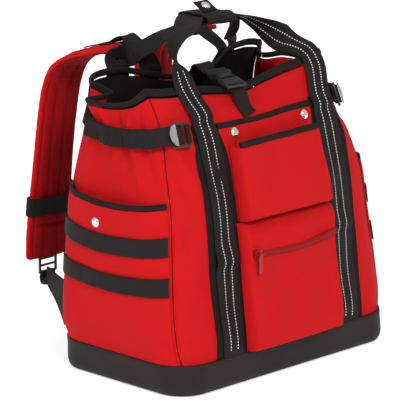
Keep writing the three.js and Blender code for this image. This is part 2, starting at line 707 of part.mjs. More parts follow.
// Front pockets: the organizer lies flat and the two others stand out on gussets
const organizerEdge = (z) => {
  const half = BAND_X - bandHalf(z) - 2.5 * CLEARANCE;
  return [-half, half];
};
const organizerRows = rowsBetween(POCKET_SPLIT, ORGANIZER_TOP);
const organizer = frontSheet(organizerEdge, shares(6), organizerRows, LAYER_GAP, POCKET_WALL);
addPart('organizer_pocket', organizer, FINISH.red);
const organizerTop = ORGANIZER_TOP + POCKET_BINDING_HEIGHT;
const organizerBinding = frontSheet(organizerEdge, shares(6), [ORGANIZER_TOP + CLEARANCE, organizerTop],
  CLEARANCE, POCKET_WALL + POCKET_BINDING_WALL);
addPart('organizer_binding', organizerBinding, FINISH.black);
[['left', FRONT_SNAP_LEFT], ['right', FRONT_SNAP_RIGHT]].forEach(([name, x]) => {
  const place = frontAt(x, FRONT_SNAP_HEIGHT, LAYER_GAP + POCKET_WALL + CLEARANCE);
  const below = frontAt(x, FRONT_SNAP_HEIGHT - 5, LAYER_GAP + POCKET_WALL + CLEARANCE);
  const slope = place.clone().sub(below);
  addSnap(`front_snap_${name}`, place, new THREE.Vector3(0, -slope.z, slope.y));
});

function pocketGrid(halfWidth, low, high, foot, depth, closedTop) {
  const inner = halfWidth - GUSSET_TAPER;
  const columns = [
    { x: -halfWidth, out: 0 }, { x: -inner, out: 1 }, { x: -inner * 0.4, out: POCKET_CROWN },
    { x: inner * 0.4, out: POCKET_CROWN }, { x: inner, out: 1 }, { x: halfWidth, out: 0 },
  ];
  const middle = rowsBetween(low + GUSSET_TAPER, high - (closedTop ? GUSSET_TAPER : 0));
  const rows = [{ z: low, out: 0 }, ...middle.map((z) => ({ z, out: 1 }))];
  if (closedTop) rows.push({ z: high, out: 0 });
  const place = (column, { z, out }) => frontAt(column.x, z, foot + depth * out * column.out);
  return rows.map((line) => columns.map((column) => place(column, line)));
}

const UPPER_FOOT = 2 * LAYER_GAP + POCKET_WALL + CLEARANCE + POCKET_WALL / 2;
const LOWER_FOOT = 2 * LAYER_GAP + BAND_WALL + CLEARANCE + POCKET_WALL / 2;
const lowerTop = POCKET_SPLIT - 3 * CLEARANCE;
const upperGrid = pocketGrid(UPPER_POCKET_HALF_WIDTH, POCKET_SPLIT, UPPER_POCKET_TOP, UPPER_FOOT,
  UPPER_POCKET_DEPTH);
const lowerGrid = pocketGrid(LOWER_POCKET_HALF_WIDTH, BAND_FOOT + CLEARANCE, lowerTop, LOWER_FOOT,
  LOWER_POCKET_DEPTH, true);
addPart('upper_pocket', thickSheet(upperGrid, POCKET_WALL), FINISH.red);
addPart('lower_pocket', thickSheet(lowerGrid, POCKET_WALL), FINISH.red);

function upperBinding() {
  const half = UPPER_POCKET_HALF_WIDTH - GUSSET_TAPER;
  const inside = UPPER_FOOT + UPPER_POCKET_DEPTH - POCKET_WALL - POCKET_BINDING_WALL;
  const wall = POCKET_WALL + 2 * POCKET_BINDING_WALL + UPPER_POCKET_DEPTH * (POCKET_CROWN - 1);
  const rows = [UPPER_POCKET_TOP + CLEARANCE, UPPER_POCKET_TOP + POCKET_BINDING_HEIGHT];
  return frontSheet(() => [-half, half], shares(2), rows, inside, wall);
}
addPart('upper_pocket_binding', upperBinding(), FINISH.black);

// Zip across the lower pocket
const pocketFace = LOWER_FOOT + LOWER_POCKET_DEPTH * POCKET_CROWN;
const zipLine = (x) => ZIP_HEIGHT + ZIP_SAG * ((x / LOWER_POCKET_HALF_WIDTH) ** 2 - 0.5);
const zipHalf = LOWER_POCKET_HALF_WIDTH - GUSSET_TAPER - 2;
function zipTape() {
  const place = (across, up, layer) => {
    const x = mix(-zipHalf, zipHalf, across);
    return frontAt(x, zipLine(x) + (up - 0.5) * ZIP_WIDTH, pocketFace + CLEARANCE + layer * ZIP_WALL);
  };
  return layeredSheet(shares(8), [0, 1], place);
}
addPart('zip_tape', zipTape(), FINISH.red);

async function joinSolids(pieces) {
  const wasm = await Module();
  wasm.setup();
  const solids = pieces.map((piece) => {
    const bare = piece.clone();
    ['normal', 'uv'].forEach((name) => bare.deleteAttribute(name));
    const merged = mergeVertices(bare, 1e-4);
    return new wasm.Manifold(new wasm.Mesh({
      numProp: 3,
      vertProperties: new Float32Array(merged.attributes.position.array),
      triVerts: new Uint32Array(merged.index.array),
    }));
  });
  const { vertProperties, triVerts } = solids.reduce((sum, solid) => sum.add(solid)).getMesh();
  const geometry = new THREE.BufferGeometry();
  geometry.setAttribute('position', new THREE.Float32BufferAttribute(vertProperties, 3));
  geometry.setIndex([...triVerts]);
  return geometry;
}

const sliderPlace = frontAt(SLIDER_X, zipLine(SLIDER_X), pocketFace + LAYER_GAP + CLEARANCE + ZIP_WALL);
const PIN_OUT = SLIDER_THICK + BAIL_RADIUS + EYE_WALL + 2 * CLEARANCE;
const eyeInside = BAIL_RADIUS + CLEARANCE;
const eyeOutside = eyeInside + EYE_WALL;
const lugX = PULL_WIDTH / 2 + CLEARANCE + LUG_THICK / 2;
const slider = await joinSolids([
  new THREE.BoxGeometry(SLIDER_LENGTH, SLIDER_THICK, SLIDER_WIDTH).translate(0, -SLIDER_THICK / 2, 0),
  ...[-1, 1].map((hand) => new THREE.BoxGeometry(LUG_THICK, PIN_OUT + BAIL_RADIUS, 2 * BAIL_RADIUS + 1)
    .translate(hand * lugX, -(PIN_OUT + BAIL_RADIUS) / 2, 0)),
  new THREE.CylinderGeometry(BAIL_RADIUS, BAIL_RADIUS, 2 * lugX, 16).rotateZ(Math.PI / 2)
    .translate(0, -PIN_OUT, 0),
]);
addPart('zip_slider', slider, FINISH.redMetal).position.copy(sliderPlace);

// Pull: an eye round the slider's pin with a tab hanging from it
function zipPull() {
  const outline = new THREE.Shape();
  const half = PULL_THICK / 2;
  const lean = Math.asin(half / eyeOutside);
  outline.moveTo(-half, -PULL_LENGTH);
  outline.lineTo(half, -PULL_LENGTH);
  outline.absarc(0, 0, eyeOutside, -Math.PI / 2 + lean, Math.PI * 1.5 - lean, false);
  outline.closePath();
  const eye = new THREE.Path();
  eye.absarc(0, 0, eyeInside, 0, Math.PI * 2, true);
  outline.holes.push(eye);
  const settings = { depth: PULL_WIDTH, bevelEnabled: false, curveSegments: 8 };
  const geometry = new THREE.ExtrudeGeometry(outline, settings);
  return geometry.translate(0, 0, -PULL_WIDTH / 2).rotateX(Math.PI / 2).rotateZ(Math.PI / 2);
}
addPart('zip_pull', zipPull(), FINISH.redMetal).position.copy(sliderPlace)
  .add(new THREE.Vector3(0, -PIN_OUT, 0));

// Side pockets, sewn in at both seams and open at the top
const bandEdges = (z) => [z - SMALL_WEB_WIDTH / 2, z + SMALL_WEB_WIDTH / 2];
const [firstBandEdge, ...otherBandEdges] = [SIDE_BAND_LOWER, SIDE_BAND_UPPER].flatMap(bandEdges);
const sideRows = [...rowsBetween(BAND_FOOT, firstBandEdge), ...otherBandEdges, SIDE_POCKET_TOP];
const pocketSag = (across, z) => (
  SIDE_POCKET_SAG * Math.sin(Math.PI * across) * smooth(BAND_FOOT, SIDE_POCKET_TOP, z));
const pocketSwell = (across, z) => LAYER_GAP + POCKET_WALL
  + SIDE_POCKET_DEPTH * Math.sin(Math.PI * across) * smooth(BAND_FOOT, SIDE_POCKET_TOP * 0.8, z);

function sidePocketSheet(side, rows, offsets) {
  const stations = side === 3 ? LEFT_STATIONS : RIGHT_STATIONS;
  const columns = [0.02, ...stations.slice(1, -1), 0.98];
  const place = (across, z, layer) => (
    bodyAt(side + across, z - pocketSag(across, z), offsets(across, z)[layer]));
  return layeredSheet(columns, rows, place);
}

both((name, hand) => {
  const side = hand < 0 ? 3 : 1;
  const pocket = (across, z) => {
    const outside = pocketSwell(across, Math.min(z, SIDE_POCKET_TOP));
    return [outside - POCKET_WALL, outside];
  };
  const binding = (across, z) => {
    const [inside, outside] = pocket(across, z);
    return [Math.max(CLEARANCE, inside - POCKET_BINDING_WALL), outside + POCKET_BINDING_WALL];
  };
  const band = (across, z) => {
    const outside = pocket(across, z)[1] + LAYER_GAP;
    return [outside, outside + WEB_THICK];
  };
  const bindingRows = [SIDE_POCKET_TOP + CLEARANCE, SIDE_POCKET_TOP + POCKET_BINDING_HEIGHT];
  addPart(`side_pocket_${name}`, sidePocketSheet(side, sideRows, pocket), FINISH.red);
  addPart(`side_pocket_binding_${name}`, sidePocketSheet(side, bindingRows, binding), FINISH.black);
  [['upper', SIDE_BAND_UPPER], ['lower', SIDE_BAND_LOWER]].forEach(([level, z]) => {
    addPart(`side_band_${level}_${name}`, sidePocketSheet(side, bandEdges(z), band), FINISH.web);
  });
  const across = hand < 0 ? SIDE_SNAP_SHARE : 1 - SIDE_SNAP_SHARE;
  const height = mix(SIDE_BAND_UPPER + SMALL_WEB_WIDTH / 2, SIDE_POCKET_TOP, SIDE_SNAP_RISE);
  const off = pocketSwell(across, height) + LAYER_GAP;
  const [base, away] = [off, off + 1]
    .map((value) => bodyAt(side + across, height - pocketSag(across, height), value));
  addSnap(`side_snap_${name}`, base, away.sub(base));
});

// Cinch straps: webbing from the rear seam round the front corner, through a lock and back
const CINCH_ROUTE = [
  { turn: 0.00, height: 0.885 },
  { turn: 0.45, height: 0.851 },
  { turn: 0.85, height: 0.856 },
  { turn: 1.12, height: 0.864 },
];

// Frame of webbing that lies along the body at a height, travelling towards the front
function lyingFrame(u, z, off, hand, outwards = 1) {
  const half = SMALL_WEB_WIDTH / 2;
  const [low, high] = [z - half, z + half].map((value) => bodyAt(u, value, off));
  const side = high.clone().sub(low).normalize().multiplyScalar(-hand);
  const ahead = bodyAt(u, z, off + 1).sub(bodyAt(u, z, off)).multiplyScalar(outwards);
  const normal = ahead.addScaledVector(side, -ahead.dot(side)).normalize();
  return { place: low.add(high).multiplyScalar(0.5), side, normal };
}

function bentFrames(centre, along, outward, side, radius) {
  return [-0.5, -0.25, 0, 0.25, 0.5].map((turn) => {
    const normal = along.clone().multiplyScalar(Math.cos(Math.PI * turn))
      .addScaledVector(outward, Math.sin(Math.PI * turn));
    return { place: centre.clone().addScaledVector(normal, radius), side, normal };
  });
}

// Ladder lock: two rails joined by bars, lying in its own XY plane
function lockGeometry(length, height, bars) {
  const rail = (height - SMALL_WEB_WIDTH) / 2 - CLEARANCE;
  const box = (across, up) => new THREE.BoxGeometry(across, up, BAR_THICK);
  return joinSolids([
    ...[-1, 1].map((end) => box(length, rail).translate(0, end * (height - rail) / 2, 0)),
    ...bars.map((at) => box(BAR_THICK, height - rail).translate(at, 0, 0)),
  ]);
}

// Put a piece made in its own axes on a place: x along, y up, z outward
function stand(mesh, place, along, outward) {
  const up = new THREE.Vector3().crossVectors(outward, along);
  mesh.quaternion.setFromRotationMatrix(new THREE.Matrix4().makeBasis(along, up, outward));
  mesh.position.copy(place);
}

const UNDER_OFF = 5 * LAYER_GAP + WEB_THICK / 2;
const LOCK_BARS = [-CINCH_LOCK_LENGTH / 2 + BAR_THICK / 2, -1, CINCH_LOCK_LENGTH / 2 - BAR_THICK / 2];
const cinchLock = await lockGeometry(CINCH_LOCK_LENGTH, CINCH_LOCK_WIDTH, LOCK_BARS);
both((name, hand) => {
  const from = hand < 0 ? 3 : 2;
  const turnTo = (share) => from - hand * share;
  const heightAt = (share) => lookUp(CINCH_ROUTE, 'turn', 'height', share) * RIM_HEIGHT;
  const lockShare = hand < 0 ? LEFT_LOCK_SHARE : RIGHT_LOCK_SHARE;
  const lockOff = UNDER_OFF + WEB_THICK / 2 + 2 * CLEARANCE + BAR_THICK / 2;
  const under = lyingFrame(turnTo(lockShare), heightAt(lockShare), UNDER_OFF, hand);
  const outward = under.normal;
  const along = new THREE.Vector3().crossVectors(outward, under.side).normalize().negate();
  const centre = under.place.clone().addScaledVector(outward, lockOff - UNDER_OFF);
  const lock = addPart(`cinch_lock_${name}`, cinchLock, FINISH.plastic);
  stand(lock, centre, along, outward);

  const reach = lockOff - UNDER_OFF + 0.4;
  const onBar = (bar) => centre.clone().addScaledVector(along, bar);
  const laid = ROUND.map((u) => (hand < 0 ? u - 3 : 2 - u)).map((share) => (share < -0.5 ? share + 4 : share))
    .filter((share) => share > 0.03 && share < lockShare - 0.035).sort((a, b) => a - b);
  const inner = [0.02, ...laid]
    .map((share) => lyingFrame(turnTo(share), heightAt(share), UNDER_OFF, hand, -1));
  const bend = bentFrames(onBar(LOCK_BARS[1]), along, outward, under.side, reach);
  const over = {
    place: onBar(LOCK_BARS[0] - 4).addScaledVector(outward, reach), side: under.side, normal: outward,
  };
  const returning = laid.filter((share) => share > TAIL_SHARE).reverse();
  const outer = returning.slice(1).map((share, index) => {
    const settled = smooth(0, 3, index + 1);
    const off = mix(lockOff + reach, UNDER_OFF + WEB_THICK + 2.5 * CLEARANCE, settled);
    return lyingFrame(turnTo(share), heightAt(share), off, hand);
  });
  const tail = lyingFrame(turnTo(TAIL_SHARE), heightAt(TAIL_SHARE), UNDER_OFF + 3 * WEB_THICK, hand);
  const frames = [...inner, ...bend, over, ...outer, tail];
  addPart(`cinch_strap_${name}`, strapThrough(frames, SMALL_WEB_WIDTH, WEB_THICK), FINISH.web);

  const back = along.clone().negate();
  const tabBend = bentFrames(onBar(LOCK_BARS[2]), back, outward, under.side.clone().negate(), reach);
  const tabEnd = (layer) => {
    const { place, side, normal } = tabBend[layer < 0 ? 0 : 4];
    return { place: place.clone().addScaledVector(along, TAB_REACH), side, normal };
  };
  addPart(`cinch_tab_${name}`, strapThrough([tabEnd(-1), ...tabBend, tabEnd(1)], SMALL_WEB_WIDTH, WEB_THICK),
    FINISH.web);
});

// Closure strap over the mouth, with its fastened side-release buckle
const buckleStart = new THREE.Vector3(BUCKLE_X, -BUCKLE_FRONT, RIM_HEIGHT - BUCKLE_BELOW_RIM);
const buckleAlong = new THREE.Vector3(BUCKLE_SKEW, 1, BUCKLE_RISE).normalize();
const buckleSide = new THREE.Vector3(1, 0, 0).addScaledVector(buckleAlong, -buckleAlong.x).normalize();
const buckleUp = new THREE.Vector3().crossVectors(buckleSide, buckleAlong);
const onBuckle = (travel, up = 0) => buckleStart.clone().addScaledVector(buckleAlong, travel)
  .addScaledVector(buckleUp, up);

function bucklePiece(name, start, length, thickness, taper) {
  const outline = new THREE.Shape();
  const half = BUCKLE_WIDTH / 2;
  const slotHalf = CLOSURE_WIDTH / 2 + SLOT_PLAY;
  const narrow = half - taper;
  outline.moveTo(0, -half).lineTo(length * 0.5, -half).lineTo(length, -narrow).lineTo(length, narrow);
  outline.lineTo(length * 0.5, half).lineTo(0, half).closePath();
  const slot = new THREE.Path();
  slot.moveTo(BAR_THICK, -slotHalf).lineTo(BAR_THICK, slotHalf);
  slot.lineTo(BAR_THICK + SLOT_LENGTH, slotHalf).lineTo(BAR_THICK + SLOT_LENGTH, -slotHalf).closePath();
  outline.holes.push(slot);
  const geometry = new THREE.ExtrudeGeometry(outline, { depth: thickness, bevelEnabled: false });
  const forwards = start === 0 ? 1 : -1;
  const piece = addPart(name, geometry.translate(0, 0, -thickness / 2), FINISH.plastic);
  const along = buckleAlong.clone().multiplyScalar(forwards);
  stand(piece, onBuckle(start), along, buckleUp);
}
const BUCKLE_REACH = LATCH_LENGTH + CLEARANCE + BUCKLE_LENGTH;
bucklePiece('buckle_latch', 0, LATCH_LENGTH, LATCH_THICK, 1);
bucklePiece('buckle_body', BUCKLE_REACH, BUCKLE_LENGTH, BUCKLE_THICK, 3);

const underLatch = -LATCH_THICK / 2 - WEB_THICK / 2 - CLEARANCE;
const closureRow = (x, above, lift) => rowOn(frontAt(x, ORGANIZER_TOP + above, WEB_THICK + lift), [1, 0, 0]);
const frontClosure = [
  closureRow(BUCKLE_X + 6, CLOSURE_ROOT, 1), closureRow(BUCKLE_X + 3, CLOSURE_LIFT, 2),
  rowOn(onBuckle(-6, underLatch - 1), [1, 0, 0]), rowOn(onBuckle(2, underLatch), [1, 0, 0]),
];
addPart('closure_strap_front', strap(frontClosure, CLOSURE_WIDTH, WEB_THICK, 8), FINISH.web);
const underBody = -BUCKLE_THICK / 2 - WEB_THICK / 2 - CLEARANCE;
const downBack = (x, high, low, width, off = WEB_ON_BACK) => rowsBetween(low, high).reverse()
  .map((z) => seatedFrame(backAt, x, z, off, 1, width));

// Webbing through free rows, then flat down the back panel
function strapDownBack(rows, legs, width, steps) {
  const ends = legs.slice(0, 2).map(({ place, side }) => rowOn(place, side.toArray()));
  const curve = strapCurve([...rows, ...ends]);
  const free = shares(steps, 0, rows.length / (rows.length + 1)).map(curve).slice(0, -1);
  return strapThrough([...free, ...legs], width, WEB_THICK);
}
const backClosure = [
  rowOn(onBuckle(BUCKLE_REACH - 3, underBody - 0.6), [1, 0, 0]),
  rowOn(onBuckle(BUCKLE_REACH + 5, underBody), [1, 0, 0]),
  row(CLOSURE_BACK_X - 9, HALF_DEPTH * 0.21, RIM_HEIGHT + 2, [1, 0, 0]),
  row(CLOSURE_BACK_X - 3, HALF_DEPTH * 0.315, RIM_HEIGHT - 2, [1, 0, 0]),
];
const closureOff = WEB_ON_BACK + 6 * LAYER_GAP;
const closureLow = RIM_HEIGHT - CLOSURE_TAIL;
const closureLegs = downBack(CLOSURE_BACK_X, RIM_HEIGHT, closureLow, CLOSURE_WIDTH, closureOff);
addPart('closure_strap_back', strapDownBack(backClosure, closureLegs, CLOSURE_WIDTH, 12), FINISH.web);

// Routes of the shoulder straps, as shares: x of the hem's place, out of the reach behind the body
// and up of the rim's height
const PAD_ROUTE = [
  { x: 1.000, out: 1.000, up: 0.272 },
  { x: 0.991, out: 0.991, up: 0.385 },
  { x: 0.962, out: 0.972, up: 0.513 },
  { x: 0.925, out: 0.954, up: 0.641 },
  { x: 0.877, out: 0.935, up: 0.769 },
  { x: 0.821, out: 0.898, up: 0.885 },
  { x: 0.783, out: 0.815, up: 0.949 },
  { x: 0.745, out: 0.648, up: 0.990 },
  { x: 0.717, out: 0.407, up: 1.018 },
  { x: 0.689, out: 0.148, up: 1.038 },
  { x: 0.670, out: -0.074, up: 1.051 },
];
const ROOT_ROUTE = [{ x: 0.623, out: -0.056, up: 1.087 }, { x: 0.585, out: -0.157, up: 1.069 }];
const WING_TIP = { x: 1.170, out: 0.815, up: 0.215 };
const WEB_BEND = { x: 1.085, out: 0.926, up: 0.205 };
const ON_PAD = [0.78, 0.85, 0.92];
const PAD_SECTION = [[-0.5, 0], [-0.44, 0.42], [0, 0.5], [0.44, 0.42], [0.5, 0], [0.44, -0.42], [0, -0.5],
  [-0.44, -0.42]];
const ABOVE_PAD = PAD_THICK / 2 + 2 * CLEARANCE + WEB_THICK / 2;
const padSpread = (share) => PAD_WIDTH + PAD_FLARE * (1 - smooth(0, 0.35, share));

const strapPlace = (hand, { x, out, up }) => (
  new THREE.Vector3(hand * x * STRAP_HEM_X, HALF_DEPTH + out * PAD_REACH, up * RIM_HEIGHT));
const padAlong = (hand) => strapCurve(PAD_ROUTE.map((place) => rowOn(strapPlace(hand, place), [hand, 0, 0])));
const ADJUST_BARS = [-0.5, 0, 0.5].map((share) => share * (ADJUST_LOCK_LENGTH - BAR_THICK));
const adjusterLock = await lockGeometry(ADJUST_LOCK_LENGTH, CINCH_LOCK_WIDTH, ADJUST_BARS);

both((name, hand) => {
  const padCurve = padAlong(hand);
  const rings = shares(24).map((share) => {
    const { place, side, normal } = padCurve(share);
    const ends = share === 0 || share === 1 ? 0.86 : 1;
    return PAD_SECTION.map(([sideways, up]) => place.clone()
      .addScaledVector(side, hand * sideways * padSpread(share) * ends)
      .addScaledVector(normal, hand * up * PAD_THICK * ends));
  });
  addPart(`shoulder_pad_${name}`, loft(rings), FINISH.red);
  const onPad = ON_PAD.map((share) => {
    const { place, normal } = padCurve(share);
    return rowOn(place.addScaledVector(normal, -hand * ABOVE_PAD), [1, 0, 0]);
  });
  const rootRows = [...onPad, ...ROOT_ROUTE.map((place) => rowOn(strapPlace(hand, place), [1, 0, 0]))];
  const rootLow = RIM_HEIGHT - STRAP_ROOT_TAIL;
  const rootOff = WEB_ON_BACK + LAYER_GAP;
  const rootLegs = downBack(hand * STRAP_ROOT_X, RIM_HEIGHT, rootLow, ROOT_WEB_WIDTH, rootOff);
  addPart(`shoulder_webbing_${name}`, strapDownBack(rootRows, rootLegs, ROOT_WEB_WIDTH, 18), FINISH.web);

  const keeperShare = findShare(padCurve, KEEPER_HEIGHT);
  const keeperStep = KEEPER_WIDTH / 2 / PAD_LENGTH;
  const keeperFrames = [1, -1].map((end) => padCurve(keeperShare + end * keeperStep));
  const keeperInside = padSpread(keeperShare) + KEEPER_PLAY;
  addPart(`strap_keeper_${name}`, sleeve(keeperFrames, keeperInside, PAD_THICK + KEEPER_PLAY, KEEPER_WALL),
    FINISH.black);

  const hem = padCurve(0).place;
  const lockPlace = new THREE.Vector3(hem.x, hem.y, hem.z - 2 * CLEARANCE - ADJUST_LOCK_LENGTH / 2);
  const lock = addPart(`adjuster_lock_${name}`, adjusterLock, FINISH.plastic);
  stand(lock, lockPlace, new THREE.Vector3(0, 0, 1), new THREE.Vector3(0, 1, 0));

  const apex = strapPlace(hand, WING_TIP);
  const seam = [WING_LOW, WING_HIGH].map((z) => bodyAt(3 - (hand > 0 ? 1 : 0), z, 2 * LAYER_GAP + WING_WALL));
  const seamMiddle = seam[0].clone().add(seam[1]).multiplyScalar(0.5);
  const run = apex.clone().sub(seamMiddle);
  const wingNormal = new THREE.Vector3(-hand * run.y, hand * run.x, 0).normalize();
  const wingFrames = [0, 0.5, 1].map((share) => ({
    place: seamMiddle.clone().lerp(apex, share).addScaledVector(run, share === 0 ? 0.02 : 0),
    side: new THREE.Vector3(0, 0, hand),
    normal: wingNormal,
    width: mix(WING_HIGH - WING_LOW, SMALL_WEB_WIDTH + 3, share),
  }));
  addPart(`strap_wing_${name}`, strapThrough(wingFrames, SMALL_WEB_WIDTH, WING_WALL), FINISH.black);

  const underLock = hem.y - BAR_THICK / 2 - 2 * CLEARANCE - WEB_THICK / 2;
  const webRows = [
    rowOn(apex.clone().addScaledVector(run.clone().normalize(), CLEARANCE), [0, 0, -1]),
    rowOn(apex.clone().addScaledVector(run.clone().normalize(), 6), [0, 0, -1]),
    rowOn(strapPlace(hand, WEB_BEND), [hand * 0.7, 0, -0.7]),
    row(hem.x + hand * 2.5, underLock - 0.5, hem.z - ADJUST_LOCK_LENGTH * 1.32, [hand, 0, 0]),
    row(hem.x + hand * 2, underLock, hem.z - ADJUST_LOCK_LENGTH * 0.82, [hand, 0, 0]),
  ];
  addPart(`adjuster_webbing_${name}`, strap(webRows, SMALL_WEB_WIDTH, WEB_THICK, 30), FINISH.web);
});

const keeperAt = findShare(padAlong(1), KEEPER_HEIGHT);
const keeperPlace = padAlong(1)(keeperAt).place;
const keeperHalf = (padSpread(keeperAt) + KEEPER_PLAY) / 2 + KEEPER_WALL;
const sternumSpan = keeperPlace.x - keeperHalf - 3 * CLEARANCE;
const sternumRows = [-1, -0.5, 0, 0.5, 1].map((share) => (
  row(share * sternumSpan, keeperPlace.y, KEEPER_HEIGHT - STERNUM_SAG * (1 - share * share), [0, 0, 1])));
addPart('sternum_strap', strap(sternumRows, STERNUM_WIDTH, WEB_THICK, 12), FINISH.web);

export default bag;
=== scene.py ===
"""Looks of a tool backpack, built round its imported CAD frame.

Shapes are worked out in millimetres, +Z up, front towards -Y, and become metres as each mesh is made.
"""

import math
from collections import namedtuple

import bmesh
import bpy
import numpy as np
from mathutils import Matrix, Vector


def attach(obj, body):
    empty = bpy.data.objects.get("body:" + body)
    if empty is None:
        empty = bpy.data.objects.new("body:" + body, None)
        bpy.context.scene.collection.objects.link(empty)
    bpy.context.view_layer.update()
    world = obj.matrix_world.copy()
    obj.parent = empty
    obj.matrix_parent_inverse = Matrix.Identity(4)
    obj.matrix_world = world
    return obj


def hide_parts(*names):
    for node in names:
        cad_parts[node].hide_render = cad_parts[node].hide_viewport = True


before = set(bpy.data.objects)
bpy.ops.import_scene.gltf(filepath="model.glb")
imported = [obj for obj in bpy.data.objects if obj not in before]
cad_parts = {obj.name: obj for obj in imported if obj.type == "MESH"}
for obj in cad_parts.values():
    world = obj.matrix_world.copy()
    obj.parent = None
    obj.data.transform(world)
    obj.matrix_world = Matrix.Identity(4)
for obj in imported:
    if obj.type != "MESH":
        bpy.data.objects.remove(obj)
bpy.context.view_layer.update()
MM = 0.001

# Camera: angles in degrees, distance and offsets in millimetres
CAMERA_AZIMUTH = -45.48
CAMERA_ELEVATION = 15.01
CAMERA_DISTANCE = 5333.3
CAMERA_RIGHT = -32.55
CAMERA_UP = 7.34
AIM_HEIGHT = 200
LENS = 360
SENSOR = 36

# Body of the bag
HALF_WIDTH = 212
HALF_DEPTH = 124
RIM_HEIGHT = 390
CORNER_RADIUS = 62
PANEL_WALL = 2.0
LINING_WALL = 1.4
CLEARANCE = 0.35
LAYER_GAP = 0.65
BINDING_GAP = 2.6
FOLD_START = 285
PLEAT_DEPTH = 42
RIM_DIP = 22
STRAP_PULL = 52
SEAM = CLEARANCE / 200

# Base tub
TUB_HEIGHT = 42
TUB_WALL = 3.0
TUB_EDGE = 9
PANEL_FOOT = TUB_EDGE + 8

# Binding tape
RIM_BINDING_HEIGHT = 9
RIM_BINDING_WALL = 1.5
POCKET_BINDING_HEIGHT = 8
POCKET_BINDING_WALL = 1.2
PANEL_TOP = RIM_HEIGHT - RIM_BINDING_HEIGHT - BINDING_GAP

# Webbing
HANDLE_WEB_WIDTH = 38
SMALL_WEB_WIDTH = 25
WEB_THICK = 1.8
BAND_WIDTH = 58
BAND_WALL = 1.2
BAND_TOP = 345
BAND_X = 110
BAND_FOOT = TUB_HEIGHT + CLEARANCE

# Carry handles
GRIP_HEIGHT = 458
GRIP_Y = 30
GRIP_DROP = 5
HANDLE_LEAN = 18
RIM_LIFT = 2.9
WRAP_LENGTH = 62
WRAP_WALL = 2.0
GRIP_HALF = WRAP_LENGTH / 2
STACK = WEB_THICK + 9 * CLEARANCE
WRAP_INSIDE = WEB_THICK + STACK + 8 * CLEARANCE
REAR_ROOT_X = 102
REAR_TAIL = 70
FLAP_WIDTH = 26
FLAP_LENGTH = 22
FLAP_TILT = 0.5
FLAP_X = -4

# Front pockets
POCKET_WALL = 1.6
ORGANIZER_TOP = 334
UPPER_POCKET_TOP = 311
UPPER_POCKET_DEPTH = 20
UPPER_POCKET_HALF_WIDTH = 80
POCKET_SPLIT = 213
LOWER_POCKET_DEPTH = 18
LOWER_POCKET_HALF_WIDTH = 86
GUSSET_TAPER = 4
POCKET_CROWN = 1.06
ZIP_HEIGHT = 172
ZIP_WIDTH = 9
ZIP_SAG = 8
ZIP_WALL = 1.0

# Side pockets
SIDE_POCKET_TOP = 246
SIDE_POCKET_SAG = 9
SIDE_POCKET_DEPTH = 12
SIDE_BANDS = {"upper": 198, "lower": 145}

# Press studs
SNAP_RADIUS = 6.5
SNAP_THICK = 3
FRONT_SNAP_HEIGHT = 326
FRONT_SNAPS = {"left": -61, "right": 73}
SIDE_SNAP_RISE = 0.36
SIDE_SNAP_SHARE = 0.43

# Closure strap and buckle
CLOSURE_WIDTH = 25
CLOSURE_TAIL = 100
CLOSURE_BACK_X = -5
BUCKLE_X = -27
BUCKLE_FRONT = 50
BUCKLE_BELOW_RIM = 14
BUCKLE_SKEW = 0.074
BUCKLE_RISE = 0.296
BUCKLE_LENGTH = 26
BUCKLE_WIDTH = 34
BUCKLE_THICK = 9
LATCH_LENGTH = 22
LATCH_THICK = 6.3

# Cinch straps
LOCK_SHARE = {"left": 1.07, "right": 1.00}
TAIL_SHARE = 0.22
TAB_REACH = 1
LOCK_WIDTH = 33
CINCH_LOCK_LENGTH = 27
BAR_THICK = 3
UNDER_OFF = 5 * LAYER_GAP + WEB_THICK / 2

# Shoulder straps
PAD_WIDTH = 70
PAD_THICK = 12
PAD_FLARE = 10
PAD_LENGTH = 345
PAD_REACH = 108
STRAP_HEM_X = 106
STRAP_ROOT_X = 60
STRAP_ROOT_TAIL = 60
ROOT_WEB_WIDTH = 28
KEEPER_HEIGHT = 179
KEEPER_WIDTH = 17
KEEPER_WALL = 1.6
KEEPER_PLAY = 3
STERNUM_WIDTH = 15
STERNUM_SAG = 7
ADJUST_LOCK_LENGTH = 22
WING_LOW = 52
WING_HIGH = 116
WING_WALL = 2.0

HANDS = {"left": -1, "right": 1}


def table(text):
    """Columns of a short table as arrays by name; its first line holds the names."""
    names, *rows = [line.split() for line in text.strip().splitlines()]
    return {name: np.array([float(row[i]) for row in rows]) for i, name in enumerate(names)}


# Sections of the body, as shares of the named sizes
SECTIONS = table("""
height left right front back corner
0.000 0.955 0.935 0.992 0.890 0.60
0.108 0.968 0.948 0.985 0.930 0.80
0.167 1.000 0.984 0.980 1.000 1.00
0.282 0.995 0.976 0.920 1.000 1.00
0.462 0.969 0.942 0.855 0.976 0.97
0.615 0.946 0.910 0.798 0.950 0.94
0.744 0.922 0.850 0.690 0.871 0.88
0.821 0.897 0.765 0.613 0.823 0.80
0.897 0.873 0.752 0.500 0.790 0.70
1.000 0.849 0.800 0.258 0.750 0.55
""")

